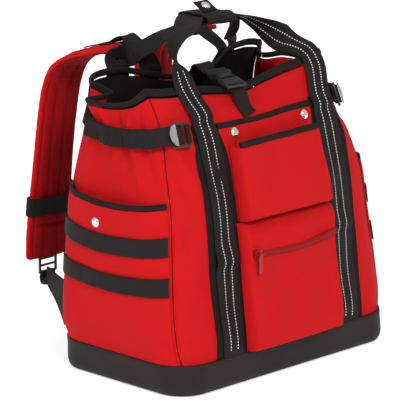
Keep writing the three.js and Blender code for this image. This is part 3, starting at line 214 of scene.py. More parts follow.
# Folds of the rim: side is the panel's number plus the share along it, the rest are shares of the fold sizes
FOLDS = table("""
side across along pull dip
0.00 0.00 0.00 0.00 -0.12
0.25 0.00 0.00 0.00 0.28
0.50 0.00 0.00 0.00 0.80
0.75 0.00 0.00 0.00 0.15
1.00 0.00 0.00 0.00 -0.10
1.25 0.05 -0.10 0.00 0.15
1.50 0.10 -0.05 0.00 0.55
1.74 0.18 0.16 0.00 0.70
1.88 -0.60 -0.12 0.00 0.60
2.00 -0.05 0.00 0.00 0.05
2.12 0.00 0.00 0.06 -0.10
2.28 0.00 0.00 0.62 -0.30
2.42 0.00 0.00 0.98 0.20
2.52 0.00 0.00 1.00 0.60
2.61 0.00 0.00 0.62 0.55
2.70 0.00 0.00 0.12 0.20
2.82 0.00 0.00 -0.04 -0.15
3.00 0.10 0.00 0.00 0.10
3.12 0.70 -0.14 0.00 0.82
3.25 -0.24 0.20 0.00 0.92
3.50 -0.14 -0.10 0.00 1.00
3.75 -0.03 -0.18 0.00 0.62
4.00 0.00 0.00 0.00 -0.12
""")

# Creases in the cloth, each from one place round the body to another: depth and width in millimetres
CREASES = table("""
side height to_side to_height depth width
3.62 322 3.66 290 -5.5 5
3.52 321 3.49 286 3.6 7
3.72 321 3.77 274 4.2 8
3.84 320 3.89 280 -4.0 6
3.93 322 3.97 270 3.2 7
3.34 323 3.30 296 -3.6 6
3.20 323 3.17 290 3.0 8
3.44 322 3.42 300 2.6 6
3.55 350 3.57 374 -4.6 6
3.66 350 3.70 372 3.6 7
3.80 348 3.86 374 -3.6 8
3.42 350 3.38 372 3.0 8
3.25 350 3.22 372 -3.0 7
0.03 322 0.15 256 4.6 8
0.01 306 0.11 226 -3.6 8
0.08 330 0.17 288 -3.6 6
0.02 352 0.10 372 3.0 9
0.13 318 0.19 250 2.6 7
3.99 250 0.07 150 2.6 10
0.06 210 0.02 120 -2.8 12
3.95 120 0.02 60 2.2 9
3.93 70 3.98 44 -3.4 5
0.04 70 0.01 44 2.4 6
3.70 110 3.95 70 1.8 14
3.20 120 3.40 70 -2.0 16
3.60 262 3.45 236 1.8 10
1.40 323 1.36 296 -3.4 6
1.28 322 1.22 282 2.6 9
1.50 322 1.54 292 2.4 8
1.45 349 1.42 372 -3.2 7
0.97 322 0.87 262 3.0 8
1.00 310 0.90 240 -2.2 8
0.32 372 0.42 345 2.0 9
0.62 374 0.55 346 -1.8 9
""")
SIDE_STARTS = [0, 400, 630, 1030, 1260]


def hermite(low, high, leaving, arriving, share):
    square, cube = share * share, share ** 3
    return (low * (2 * cube - 3 * square + 1) + leaving * (cube - 2 * square + share)
            + high * (3 * square - 2 * cube) + arriving * (cube - square))


def look_up(rows, key, column, at):
    """Value of a column at a key, eased between the rows as the solids have it."""
    keys, values = rows[key], rows[column]
    last = len(keys) - 1
    row = np.minimum(np.searchsorted(keys[1:], at), last - 1)
    before, after = np.maximum(row - 1, 0), np.minimum(row + 2, last)
    span = keys[row + 1] - keys[row]
    share = np.clip((at - keys[row]) / span, 0, 1)
    leaving = (values[row + 1] - values[before]) / (keys[row + 1] - keys[before]) * span
    arriving = (values[after] - values[row]) / (keys[after] - keys[row]) * span
    return hermite(values[row], values[row + 1], leaving, arriving, share)


def mix(a, b, share):
    return a + (b - a) * share


def smooth(low, high, value):
    share = np.clip((value - low) / (high - low), 0, 1)
    return share * share * (3 - 2 * share)


def unit(vectors):
    return vectors / np.maximum(np.linalg.norm(vectors, axis=-1, keepdims=True), 1e-9)


def section_point(u, z):
    """Points on the plain section: u runs 0 to 4 round front, right, back and left, from corner to corner."""
    at = z / RIM_HEIGHT
    left, right = (look_up(SECTIONS, "height", name, at) * HALF_WIDTH for name in ("left", "right"))
    front, back = (look_up(SECTIONS, "height", name, at) * HALF_DEPTH for name in ("front", "back"))
    corner = look_up(SECTIONS, "height", "corner", at) * CORNER_RADIUS
    turn = np.mod(u, 4)
    side = np.minimum(np.floor(turn).astype(int), 3)
    xs = np.stack([corner - left, right - corner, right - corner, corner - left])
    ys = np.stack([corner - front, corner - front, back - corner, back - corner])
    start_x, start_y = np.choose(side, xs), np.choose(side, ys)
    end_x, end_y = np.choose((side + 1) % 4, xs), np.choose((side + 1) % 4, ys)
    arc = corner * np.pi / 4
    straight = np.hypot(end_x - start_x, end_y - start_y)
    travel = (turn - side) * (2 * arc + straight)
    facing = -np.pi / 2 + side * np.pi / 2
    angle = facing + np.where(travel < arc, travel / corner - np.pi / 4,
                              np.maximum(travel - arc - straight, 0) / corner)
    along = np.clip(travel - arc, 0, straight) / straight
    x, y = mix(start_x, end_x, along), mix(start_y, end_y, along)
    return x + corner * np.cos(angle), y + corner * np.sin(angle)


def body_point(u, z):
    u, z = np.broadcast_arrays(np.asarray(u, float), np.asarray(z, float))
    x, y = section_point(u, z)
    turn = np.mod(u, 4)
    fold = smooth(FOLD_START, RIM_HEIGHT + 30, z) * smooth(FOLD_START, RIM_HEIGHT, z) / 0.87
    across = look_up(FOLDS, "side", "across", turn) * PLEAT_DEPTH
    along = look_up(FOLDS, "side", "along", turn) * PLEAT_DEPTH
    pull = look_up(FOLDS, "side", "pull", turn) * STRAP_PULL
    dip = look_up(FOLDS, "side", "dip", turn) * RIM_DIP
    return np.stack([x + across * fold, y + (along - pull) * fold, z - dip * fold], -1)


def relief(u, z):
    """How far the cloth stands out from the plain body: creases from the table and a soft unevenness."""
    u, z = np.broadcast_arrays(np.asarray(u, float), np.asarray(z, float))
    spot = np.stack([np.interp(np.mod(u, 4), range(5), SIDE_STARTS), z], -1)
    x, y = spot[..., 0] * 2 * np.pi / SIDE_STARTS[-1], z
    out = (0.9 * np.sin(5 * x + 1.3) * np.sin(y / 31 + 0.4) + 0.6 * np.sin(11 * x + y / 27 + 2.1)
           + 0.35 * np.sin(23 * x - y / 16 + 0.7)) * smooth(TUB_HEIGHT, TUB_HEIGHT + 25, z)
    starts, ends = (np.stack([np.interp(CREASES[side], range(5), SIDE_STARTS), CREASES[height]], -1)
                    for side, height in (("side", "height"), ("to_side", "to_height")))
    for start, end, depth, width in zip(starts, ends, CREASES["depth"], CREASES["width"]):
        turns = np.round((start[0] - end[0]) / SIDE_STARTS[-1]) * SIDE_STARTS[-1]
        run = end + [turns, 0] - start
        for shift in (-SIDE_STARTS[-1], 0, SIDE_STARTS[-1]):
            away = spot - start + [shift, 0]
            share = (away @ run) / (run @ run)
            gap = np.linalg.norm(away - np.clip(share, 0, 1)[..., None] * run, axis=-1)
            out = out + depth * (1 - 0.75 * np.clip(share, 0, 1)) * np.exp(-(gap / width) ** 2)
    return out


def body_at(u, z, off=0.0):
    """Points a distance outside the body's outer face, square to it in plan."""
    step = 0.004
    ahead = body_point(u + step, z) - body_point(u - step, z)
    normal = unit(np.stack([ahead[..., 1], -ahead[..., 0], np.zeros(ahead.shape[:-1])], -1))
    return body_point(u, z) + normal * (off + relief(u, z))[..., None]


def find_side(side, value, z):
    """Place round the body on a side whose x has a value."""
    value, z = np.broadcast_arrays(np.asarray(value, float), np.asarray(z, float))
    low, high = np.full(value.shape, float(side)), np.full(value.shape, side + 0.9999)
    rising = body_point(high, z)[..., 0] > body_point(low, z)[..., 0]
    for _ in range(24):
        middle = (low + high) / 2
        up = (body_point(middle, z)[..., 0] < value) == rising
        low, high = np.where(up, middle, low), np.where(up, high, middle)
    return (low + high) / 2


def front_at(x, z, off=0.0):
    return body_at(find_side(0, x, z), np.broadcast_to(z, np.broadcast(x, z).shape), off)


def back_at(x, z, off=0.0):
    return body_at(find_side(2, x, z), np.broadcast_to(z, np.broadcast(x, z).shape), off)


# Meshes: each is points in millimetres, faces, and a UV in metres for each corner of each face
Shape = namedtuple("Shape", "points faces uvs")


def run_lengths(grid):
    steps = np.linalg.norm(np.diff(grid, axis=1), axis=2).mean(0)
    return np.concatenate([[0], np.cumsum(steps)])


def grid_quads(grid, wrap=False):
    """Corners and UVs of a grid's quads; wrap joins the last column to the first."""
    rows, columns = grid.shape[:2]
    if wrap:
        grid = np.concatenate([grid, grid[:, :1]], 1)
    across, up = run_lengths(grid), run_lengths(grid.swapaxes(0, 1))
    r, c = (part.ravel() for part in np.meshgrid(range(rows - 1), range(grid.shape[1] - 1), indexing="ij"))
    corners = [(r, c), (r, c + 1), (r + 1, c + 1), (r + 1, c)]
    quads = np.stack([row * columns + column % columns for row, column in corners], -1)
    uvs = np.stack([np.stack([across[column], up[row]], -1) for row, column in corners], 1)
    return quads, uvs * MM


def sheet(outer, inner):
    """Closed sheet of cloth between two grids of points."""
    rows, columns = outer.shape[:2]
    quads, uvs = grid_quads(outer)
    count = rows * columns
    index = np.arange(count).reshape(rows, columns)
    rim = np.concatenate([index[0, :-1], index[:-1, -1], index[-1, :0:-1], index[:0:-1, 0]])
    after = np.roll(rim, -1)
    edge = np.stack([rim, rim + count, after + count, after], -1)
    edge_uvs = np.zeros((len(edge), 4, 2))
    points = np.concatenate([outer.reshape(-1, 3), inner.reshape(-1, 3)])
    faces = np.concatenate([quads, quads[:, ::-1] + count, edge])
    return Shape(points, faces.tolist(), np.concatenate([uvs, uvs[:, ::-1], edge_uvs]).reshape(-1, 2))


def tube(rings, wrap_ends=False):
    """Solid through closed rings of points: capped at both ends, or joined end to end."""
    rings = np.asarray(rings, float)
    count, sides = rings.shape[:2]
    joined = np.concatenate([rings, rings[:1]]) if wrap_ends else rings
    quads, uvs = grid_quads(joined, wrap=True)
    if wrap_ends:
        return Shape(rings.reshape(-1, 3), (quads % (count * sides)).tolist(), uvs.reshape(-1, 2))
    caps = [list(range(sides))[::-1], list(range((count - 1) * sides, count * sides))]
    flat = np.zeros((2 * sides, 2))
    return Shape(rings.reshape(-1, 3), quads.tolist() + caps, np.concatenate([uvs.reshape(-1, 2), flat]))


def join(shapes):
    points, faces, uvs, start = [], [], [], 0
    for shape in shapes:
        points.append(shape.points)
        faces += [[corner + start for corner in face] for face in shape.faces]
        uvs.append(shape.uvs)
        start += len(shape.points)
    return Shape(np.concatenate(points), faces, np.concatenate(uvs))


def add_piece(name, shape, material, node=None, body="bag", sharp=50, bevel=0.0):
    """Makes a piece of the bag from a shape; it stands for its CAD node and rides on a body."""
    mesh = bpy.data.meshes.new(name)
    mesh.from_pydata((shape.points * MM).tolist(), [], shape.faces)
    mesh.uv_layers.new(name="Cloth").data.foreach_set("uv", shape.uvs.ravel())
    work = bmesh.new()
    work.from_mesh(mesh)
    bmesh.ops.recalc_face_normals(work, faces=work.faces)
    work.to_mesh(mesh)
    work.free()
    mesh.polygons.foreach_set("use_smooth", [True] * len(mesh.polygons))
    mesh.set_sharp_from_angle(angle=math.radians(sharp))
    mesh.materials.append(material)
    piece = bpy.data.objects.new(name, mesh)
    bpy.context.scene.collection.objects.link(piece)
    if bevel:
        rounding = piece.modifiers.new("Rounding", "BEVEL")
        rounding.width, rounding.segments, rounding.limit_method = bevel * MM, 3, "ANGLE"
        rounding.harden_normals = True
    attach(piece, body)
    if node:
        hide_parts(node)
    return piece


# Frames along straps: places, the direction across and the direction outwards
Frames = namedtuple("Frames", "place side normal")


def catmull(points, share, centripetal=True):
    """Smooth open curve through points at shares of its run."""
    points = np.asarray(points, float)
    last = len(points) - 1
    ghost = np.concatenate([[2 * points[0] - points[1]], points, [2 * points[-1] - points[-2]]])
    place = np.clip(np.asarray(share, float), 0, 1) * last
    step = np.minimum(np.floor(place).astype(int), last - 1)
    part = (place - step)[:, None]
    a, b, c, d = (ghost[step + i] for i in range(4))
    if not centripetal:
        return hermite(b, c, (c - a) / 2, (d - b) / 2, part)
    gaps = [np.maximum(np.linalg.norm(q - p, axis=1, keepdims=True), 1e-6) ** 0.5
            for p, q in ((a, b), (b, c), (c, d))]
    leaving = ((b - a) / gaps[0] - (c - a) / (gaps[0] + gaps[1]) + (c - b) / gaps[1]) * gaps[1]
    arriving = ((c - b) / gaps[1] - (d - b) / (gaps[1] + gaps[2]) + (d - c) / gaps[2]) * gaps[1]
    return hermite(b, c, leaving, arriving, part)


def curve_frames(places, across, share):
    """Frames of a strap through chosen places, each with its direction across."""
    share = np.asarray(share, float)
    place = catmull(places, share)
    tangent = unit(catmull(places, share + 1e-4) - catmull(places, share - 1e-4))
    side = catmull(across, share, centripetal=False)
    side = unit(side - (side * tangent).sum(1, keepdims=True) * tangent)
    return Frames(place, side, np.cross(side, tangent))


def refine(frames, count):
    """The same strap with evenly more frames, smoothed between them."""
    share = np.linspace(0, 1, count)
    side = unit(catmull(frames.side, share, centripetal=False))
    normal = unit(catmull(frames.normal, share, centripetal=False))
    return Frames(catmull(frames.place, share), side, normal)


def chain(*runs):
    return Frames(*(np.concatenate([getattr(run, field) for run in runs]) for field in Frames._fields))


def part_of(frames, rows):
    return Frames(*(getattr(frames, field)[rows] for field in Frames._fields))


# Section of webbing with soft selvedges, as shares of width and thickness
WEB_SECTION = np.stack(list(table("""
across up
-0.500 0.00
-0.490 0.38
-0.465 0.50
-0.300 0.44
-0.150 0.42
0.000 0.42
0.150 0.42
0.300 0.44
0.465 0.50
0.490 0.38
0.500 0.00
0.490 -0.38
0.465 -0.50
0.000 -0.42
-0.465 -0.50
-0.490 -0.38
""").values()), -1)


def section_rings(frames, width, thickness, section):
    count = len(frames.place)
    width, thickness = (np.broadcast_to(size, count)[:, None, None] for size in (width, thickness))
    return (frames.place[:, None] + frames.side[:, None] * section[None, :, :1] * width
            + frames.normal[:, None] * section[None, :, 1:] * thickness)


def ribbon(frames, width, thickness):
    return tube(section_rings(frames, width, thickness, WEB_SECTION))


# Materials
class Finish:
    """A material whose nodes are added and joined in short calls."""

    def __init__(self, name, colour, roughness, **constants):
        self.material = bpy.data.materials.new(name)
        self.material.use_nodes = True
        self.tree = self.material.node_tree
        self.shader = self.tree.nodes["Principled BSDF"]
        self.shader.inputs["Base Color"].default_value = (*colour, 1)
        self.shader.inputs["Roughness"].default_value = roughness
        for socket, value in constants.items():
            self.shader.inputs[socket.replace("_", " ")].default_value = value
        self.colour = colour

    def add(self, kind, settings=None, outlet=0, **inputs):
        node = self.tree.nodes.new(kind)
        for name, value in (settings or {}).items():
            setattr(node, name, value)
        for key, value in inputs.items():
            socket = node.inputs[int(key[1:])] if key[1:].isdigit() else node.inputs[key]
            if isinstance(value, bpy.types.NodeSocket):
                self.tree.links.new(value, socket)
            else:
                socket.default_value = value
        return node.outputs[outlet]

    def sum(self, operation, a, b=0.0):
        return self.add("ShaderNodeMath", {"operation": operation}, i0=a, i1=b)

    def blend(self, share, a, b):
        return self.add("ShaderNodeMix", {"data_type": "FLOAT"}, i0=share, i2=a, i3=b)

    def noise(self, scale, detail=3.0, coordinates=None):
        coordinates = coordinates or self.add("ShaderNodeTexCoord", outlet=3)
        return self.add("ShaderNodeTexNoise", Vector=coordinates, Scale=scale, Detail=detail)

    def cloth_axes(self, pitch):
        """UV along and across in steps of a pitch given in millimetres."""
        uv = self.add("ShaderNodeUVMap", {"uv_map": "Cloth"})
        steps = self.add("ShaderNodeVectorMath", {"operation": "SCALE"}, i0=uv, Scale=1 / (pitch * MM))
        parts = self.tree.nodes.new("ShaderNodeSeparateXYZ")
        self.tree.links.new(steps, parts.inputs[0])
        return steps, parts.outputs[0], parts.outputs[1]

    def ridge(self, steps):
        """Round ridges, one a step, from 0 to 1."""
        return self.sum("ABSOLUTE", self.sum("SINE", self.sum("MULTIPLY", steps, math.pi)))

    def tint(self, share, spread):
        """Base colour varied lighter and darker by a share from 0 to 1."""
        dark, light = ([channel * (1 + sign * spread) for channel in self.colour] for sign in (-1, 1))
        ends = {"i6": (*dark, 1), "i7": (*light, 1)}
        colour = self.add("ShaderNodeMix", {"data_type": "RGBA"}, outlet=2, i0=share, **ends)
        self.tree.links.new(colour, self.shader.inputs["Base Color"])

    def bump(self, height, distance, strength=1.0):
        normal = self.add("ShaderNodeBump", Height=height, Distance=distance * MM, Strength=strength)
        self.tree.links.new(normal, self.shader.inputs["Normal"])

    def vary_roughness(self, share, low, high):
        level = self.add("ShaderNodeMapRange", Value=share, i3=low, i4=high)
        self.tree.links.new(level, self.shader.inputs["Roughness"])


def woven(name, colour, pitch, spread=0.14):
    """Plain weave of coarse coated yarn."""
    finish = Finish(name, colour, 0.78, Specular_IOR_Level=0.09)
    steps, across, up = finish.cloth_axes(pitch)
    checks = finish.add("ShaderNodeTexChecker", outlet=1, Vector=steps, Scale=1.0)
    yarns = finish.blend(checks, finish.ridge(across), finish.ridge(up))
    fuzz = finish.noise(900, 2)
    patches = finish.noise(28, 4)
    height = finish.sum("ADD", yarns, finish.sum("MULTIPLY", fuzz, 0.5))
    finish.tint(finish.blend(0.45, patches, finish.sum("MULTIPLY", height, 0.7)), spread)
    finish.vary_roughness(patches, 0.68, 0.88)
    finish.bump(height, 0.35, 0.8)
    return finish.material


def ribbed(name, colour, pitch, spread=0.35):
    """Webbing or tape with ribs across it and fine yarns along it."""
    finish = Finish(name, colour, 0.6, Specular_IOR_Level=0.12)
    _, across, up = finish.cloth_axes(pitch)
    ribs = finish.ridge(up)
    yarns = finish.ridge(finish.sum("MULTIPLY", across, 1.7))
    fuzz = finish.noise(700, 3)
    height = finish.sum("ADD", finish.blend(0.35, ribs, yarns), finish.sum("MULTIPLY", fuzz, 0.4))
    finish.tint(finish.blend(0.5, height, finish.noise(40, 4)), spread)
    finish.vary_roughness(finish.noise(60), 0.5, 0.75)
    finish.bump(height, 0.5, 0.9)
    return finish.material


def moulded(name, colour, grain, roughness, spread=0.15, depth=0.15, specular=0.5):
    """Moulded plastic with a fine grain."""
    finish = Finish(name, colour, roughness, Specular_IOR_Level=specular)
    pits = finish.noise(grain, 4)
    finish.tint(finish.blend(0.4, finish.noise(22, 4), pits), spread)
    finish.vary_roughness(finish.noise(45, 5), roughness - 0.08, roughness + 0.1)
    finish.bump(pits, depth, 0.7)
    return finish.material


def metal(name, colour, roughness, metallic):
    finish = Finish(name, colour, roughness, Metallic=metallic)
    marks = finish.noise(260, 6)
    finish.tint(marks, 0.08)
    finish.vary_roughness(marks, roughness * 0.7, roughness * 1.4)
    finish.bump(marks, 0.05, 0.3)
    return finish.material


def threads(name, colour):
    finish = Finish(name, colour, 0.45, Specular_IOR_Level=0.6)
    twist = finish.noise(1500, 2)
    finish.tint(twist, 0.2)
    finish.bump(twist, 0.1, 0.5)
    return finish.material


RED = woven("red_cloth", (0.50, 0.006, 0.008), 0.95)
DARK_RED = woven("red_mesh", (0.30, 0.003, 0.006), 2.2, spread=0.3)
BLACK = woven("black_cloth", (0.0125, 0.0088, 0.0086), 0.95, spread=0.3)
TAPE = ribbed("black_tape", (0.0098, 0.0072, 0.0071), 1.1)
WEBBING = ribbed("black_webbing", (0.0115, 0.0083, 0.0081), 1.7)
TUB = moulded("black_tub", (0.0150, 0.0093, 0.0088), 1100, 0.62, specular=0.18)
PLASTIC = moulded("dark_plastic", (0.020, 0.0195, 0.020), 500, 0.36, depth=0.05, specular=0.4)
# Grey plastic for the thumb tabs: the tabs are glossy black, and this grey is a painted highlight standing in
# for the light they reflect
PAINTED_HIGHLIGHT_PLASTIC = moulded("tab_plastic_painted_highlight", (0.22, 0.22, 0.22), 500, 0.3, depth=0.05)
STEEL = metal("bright_steel", (0.80, 0.79, 0.77), 0.2, 1.0)
RED_METAL = metal("red_metal", (0.30, 0.006, 0.009), 0.32, 0.35)
ZIP_RED = ribbed("red_zip_tape", (0.27, 0.003, 0.005), 0.8, spread=0.2)
THREAD = threads("reflective_thread", (0.74, 0.73, 0.72))


def add_web(name, frames, width, node):
    """Makes a piece of webbing that follows its frames."""
    add_piece(name, ribbon(frames, width, WEB_THICK), WEBBING, node)


# Stitches: small rounded dashes laid on a line of points
def dashes(points, normals, pitch, length, width, height=0.5):
    """Dashes along a line of points, each standing a little out of the cloth."""
    run = np.concatenate([[0], np.cumsum(np.linalg.norm(np.diff(points, axis=0), axis=1))])
    middles = np.arange(pitch / 2, run[-1], pitch)
    at = lambda values, place: np.stack([np.interp(place, run, values[:, i]) for i in range(3)], -1)
    centre, normal = at(points, middles), unit(at(normals, middles))
    along = unit(at(points, middles + 0.5) - at(points, middles - 0.5))
    side = np.cross(normal, along)
    ring = np.array([[-0.5, -0.1], [-0.35, 0.7], [0.35, 0.7], [0.5, -0.1]])
    shapes = []
    for c, n, a, s in zip(centre, normal, along, side):
        rings = [c + a * length * share + s * ring[:, :1] * width * size + n * ring[:, 1:] * height * size
                 for share, size in ((-0.5, 0.6), (-0.32, 1), (0.32, 1), (0.5, 0.6))]
        shapes.append(tube(rings))
    return join(shapes)


def edge_spread(count):
    """Shares from 0 to 1 that crowd towards both ends."""
    return (1 - np.cos(np.pi * np.linspace(0, 1, count))) / 2


# Base tub
TUB_SIDES = 320


def tub_ring(z, off):
    u = np.linspace(0, 4, TUB_SIDES, endpoint=False)
    level = np.full(u.shape, max(z, PANEL_FOOT))
    point = body_at(u, level, off - relief(u, level))
    point[:, 2] = z
    return point


TUB_PROFILE = table("""
height off
0.00 -9.0
0.01 -6.3
0.04 -3.6
0.11 -1.6
0.21 -0.35
0.30 0.0
0.80 0.0
0.83 0.35
0.97 0.35
0.99 0.0
1.00 -0.8
1.00 -2.6
0.97 -3.0
0.42 -3.0
0.16 -4.5
0.10 -7.5
""")
outside = CLEARANCE + TUB_WALL
tub_rings = [tub_ring(height * TUB_HEIGHT, outside + off) for height, off in zip(*TUB_PROFILE.values())]
add_piece("tub", tube(tub_rings), TUB, "base_tub", sharp=60)


# Walls, with a rolled seam along both upright edges
def wall_sheet(side, outside, wall, trim, columns, rows, roll):
    across = np.linspace(trim, 1 - trim, columns)
    z = np.linspace(PANEL_FOOT, PANEL_TOP, rows)
    u, z = np.meshgrid(side + across, z)
    length = SIDE_STARTS[side + 1] - SIDE_STARTS[side]
    edge = np.minimum(u - side, side + 1 - u) * length
    dip = roll * np.exp(-(edge / 1.6) ** 2) - 0.35 * roll * np.exp(-((edge - 5) / 2.5) ** 2)
    return sheet(body_at(u, z, outside - dip), body_at(u, z, outside - wall))


WALL_ROWS = 96
SEAM_ROLL = 1.5
WALLS = [("front", 0, 130, RED, "front_panel"), ("right", 1, 84, RED, "side_panel_right"),
         ("left", 3, 84, RED, "side_panel_left"), ("back", 2, 120, BLACK, "back_panel")]
for name, side, columns, cloth, node in WALLS:
    wall = wall_sheet(side, 0, PANEL_WALL, SEAM, columns, WALL_ROWS, SEAM_ROLL)
    add_piece(f"{name}_wall", wall, cloth, node)
LINING_FACE = -PANEL_WALL - CLEARANCE
for name, side in (("front", 0), ("back", 2)):
    lining = wall_sheet(side, LINING_FACE, LINING_WALL, 0.04, 90, 70, 0.0)
    add_piece(f"{name}_inside", lining, BLACK, f"{name}_lining")


# Binding of the rim: a padded roll in two lengths that meet in the side pleats
ROLL = [(math.cos(a), math.sin(a)) for a in np.linspace(0, 2 * math.pi, 20, endpoint=False)]


def binding_roll(u, low, high, inside, outside_off, at=body_at):
    """Rounded tape over a cloth's edge, through places round the body."""
    rings = []
    for place in u:
        z, off = [], []
        for across, up in ROLL:
            square = (abs(across) ** 2.6 + abs(up) ** 2.6) ** (-1 / 2.6)
            off.append(mix(inside, outside_off, 0.5 + across * square / 2))
            z.append(mix(low, high, 0.5 + up * square / 2))
        rings.append(at(np.full(len(ROLL), place), np.array(z), np.array(off)))
    return tube(rings)


LEFT_PLEAT = 3.12
RIGHT_PLEAT = 1.88
rim_inside = LINING_FACE - LINING_WALL - RIM_BINDING_WALL
for name, start, end in (("front", LEFT_PLEAT - 4, RIGHT_PLEAT), ("back", RIGHT_PLEAT, LEFT_PLEAT)):
    u = np.linspace(start + SEAM, end - SEAM, 260 if name == "front" else 130)
    roll = binding_roll(u, RIM_HEIGHT - RIM_BINDING_HEIGHT, RIM_HEIGHT, rim_inside, RIM_BINDING_WALL)
    add_piece(f"{name}_rim_tape", roll, TAPE, f"{name}_rim_binding")


# Wide bands on the front
def band_half(z):
    return mix(BAND_WIDTH, HANDLE_WEB_WIDTH + 4, smooth(FOLD_START, BAND_TOP, z)) / 2


def front_sheet(edges, columns, heights, inside, wall):
    z = np.asarray(heights, float)[:, None]
    low, high = edges(z)
    x = mix(low, high, np.asarray(columns)[None])
    z = np.broadcast_to(z, x.shape)
    return sheet(front_at(x, z, inside + wall), front_at(x, z, inside))


for name, hand in HANDS.items():
    edges = lambda z: (hand * BAND_X - band_half(z), hand * BAND_X + band_half(z))
    heights = np.linspace(BAND_FOOT, BAND_TOP, 90)
    band = front_sheet(edges, np.linspace(0, 1, 20), heights, LAYER_GAP, BAND_WALL)
    add_piece(f"front_band_{name}_cloth", band, BLACK, f"front_band_{name}")


# Carry handles
def grip_row(x, y, lift):
    return [x, y, GRIP_HEIGHT - GRIP_DROP * (x / GRIP_HALF + 1) / 2 + lift], [0, 1, 0]


def loop_rows(rows, spread):
    height = mix(RIM_HEIGHT, GRIP_HEIGHT, rows["rise"])
    places = np.stack([rows["x"] * spread, rows["y"] * HALF_DEPTH, height], -1)
    turn = np.pi * rows["turn"]
    return [(place, [math.cos(t), math.sin(t), 0]) for place, t in zip(places, turn)]


# Legs of the handles: shares of the legs' spacing, the half depth and the grip's height over the rim
FRONT_LEFT_LEG = table("""
x y rise turn
-1.027 -0.234 0.235 0.08
-1.000 -0.161 0.500 0.28
-0.882 -0.073 0.750 0.40
-0.609 0.040 0.912 0.46
""")
FRONT_RIGHT_LEG = table("""
x y rise turn
0.545 0.218 0.824 0.55
0.800 0.137 0.588 0.66
1.000 0.000 0.310 0.78
1.140 -0.226 0.118 0.93
""")
REAR_LEFT_LEG = table("""
x y rise turn
-1.000 0.815 0.176 0.97
-0.833 0.742 0.279 0.78
-0.637 0.621 0.397 0.50
-0.510 0.484 0.603 0.37
-0.412 0.347 0.735 0.46
""")
REAR_RIGHT_LEG = table("""
x y rise turn
0.549 0.403 0.750 0.42
0.765 0.532 0.559 0.30
0.941 0.677 0.309 0.14
""")
WEB_ON_BAND = LAYER_GAP + BAND_WALL + CLEARANCE + WEB_THICK / 2
WEB_ON_BACK = RIM_BINDING_WALL + 3.5 * CLEARANCE + WEB_THICK / 2

# Slack in the handle webbing between its tacks: where a tack is, the lift above it and how far it reaches
HUMPS = {
    "left": table("height lift reach\n160 4.5 34\n352 3.0 26"),
    "right": table("height lift reach\n168 3.0 30\n330 3.5 30"),
}


def slack(name, z):
    lift = np.zeros(np.shape(z))
    for height, up, reach in zip(*HUMPS[name].values()):
        lift += up * smooth(height - 3, height + 5, z) * (1 - smooth(height + 8, height + reach, z))
    return lift


def web_x(hand, z):
    return hand * BAND_X + max(hand, 0) * HANDLE_LEAN * smooth(BAND_TOP, RIM_HEIGHT, z)


def front_leg(name, z):
    """Frames of the webbing up one band, from the tub to the rim."""
    hand = HANDS[name]
    lift = np.where(z < BAND_TOP, 0, RIM_LIFT * smooth(BAND_TOP - 1, BAND_TOP + 12, z))
    off = WEB_ON_BAND + lift + slack(name, z)
    place = front_at(hand * (BAND_X - HANDLE_WEB_WIDTH / 2), z, off)
    place[:, 0] = web_x(hand, z)
    side = np.tile([-hand, 0, 0], (len(z), 1)).astype(float)
    return Frames(place, side, np.tile([0.0, -1, 0], (len(z), 1)))


def seated(at, x, z, off, hand, width, facing):
    """Frames of flat webbing that lies on the body, on its two edges and its middle."""
    low, middle, high = (at(np.full(z.shape, x + shift * width / 2), z, off) for shift in (-1, 0, 1))
    side = high - low
    side[:, 2] = 0
    side = unit(side) * hand
    outward = unit(np.cross(side, [0, 0, hand * facing]))
    centre = (low + high) / 2
    bulge = np.maximum(0, ((middle - centre) * outward).sum(1, keepdims=True))
    return Frames(centre + outward * bulge, side, outward)


def handle_frames(left, rows, right):
    """One run of frames: up the left leg, through the loop's rows and down the right leg."""
    ends = [(run.place[i], run.side[i]) for run, i in ((left, -8), (left, -1))]
    ends_after = [(run.place[i], run.side[i]) for run, i in ((right, 0), (right, 7))]
    places, across = zip(*[*ends, *rows, *ends_after])
    inside = 1 / (len(places) - 1)
    loop = curve_frames(places, across, np.linspace(inside, 1 - inside, 150)[1:-1])
    return chain(left, loop, right)


heights = np.linspace(BAND_FOOT, RIM_HEIGHT, 100)
legs = {name: front_leg(name, heights) for name in HANDS}
grip = [grip_row(x, GRIP_Y, 0) for x in (-GRIP_HALF, 0, GRIP_HALF)]
down = part_of(legs["right"], slice(None, None, -1))
rows = loop_rows(FRONT_LEFT_LEG, BAND_X) + grip + loop_rows(FRONT_RIGHT_LEG, BAND_X)
front_run = handle_frames(legs["left"], rows, down)
rings = section_rings(front_run, HANDLE_WEB_WIDTH, WEB_THICK, WEB_SECTION)


def seat_rings(rings, heights, name, order):
    """Lays the leg's webbing on the curve of the band below its top."""
    hand = HANDS[name]
    across = -hand * WEB_SECTION[:, 0][None] * HANDLE_WEB_WIDTH
    x = web_x(hand, heights)[:, None] + across
    z = np.broadcast_to(heights[:, None], x.shape)
    off = WEB_ON_BAND + slack(name, z) + WEB_SECTION[:, 1][None] * WEB_THICK
    lain = front_at(x, z, off)
    keep = smooth(BAND_TOP - 45, BAND_TOP - 5, heights)[:, None, None]
    rings[order] = mix(lain, rings[order], keep)


count = len(heights)
seat_rings(rings, heights, "left", slice(0, count))
seat_rings(rings, heights[::-1], "right", slice(len(rings) - count, len(rings)))
add_piece("front_handle_webbing", tube(rings), WEBBING, "front_handle")

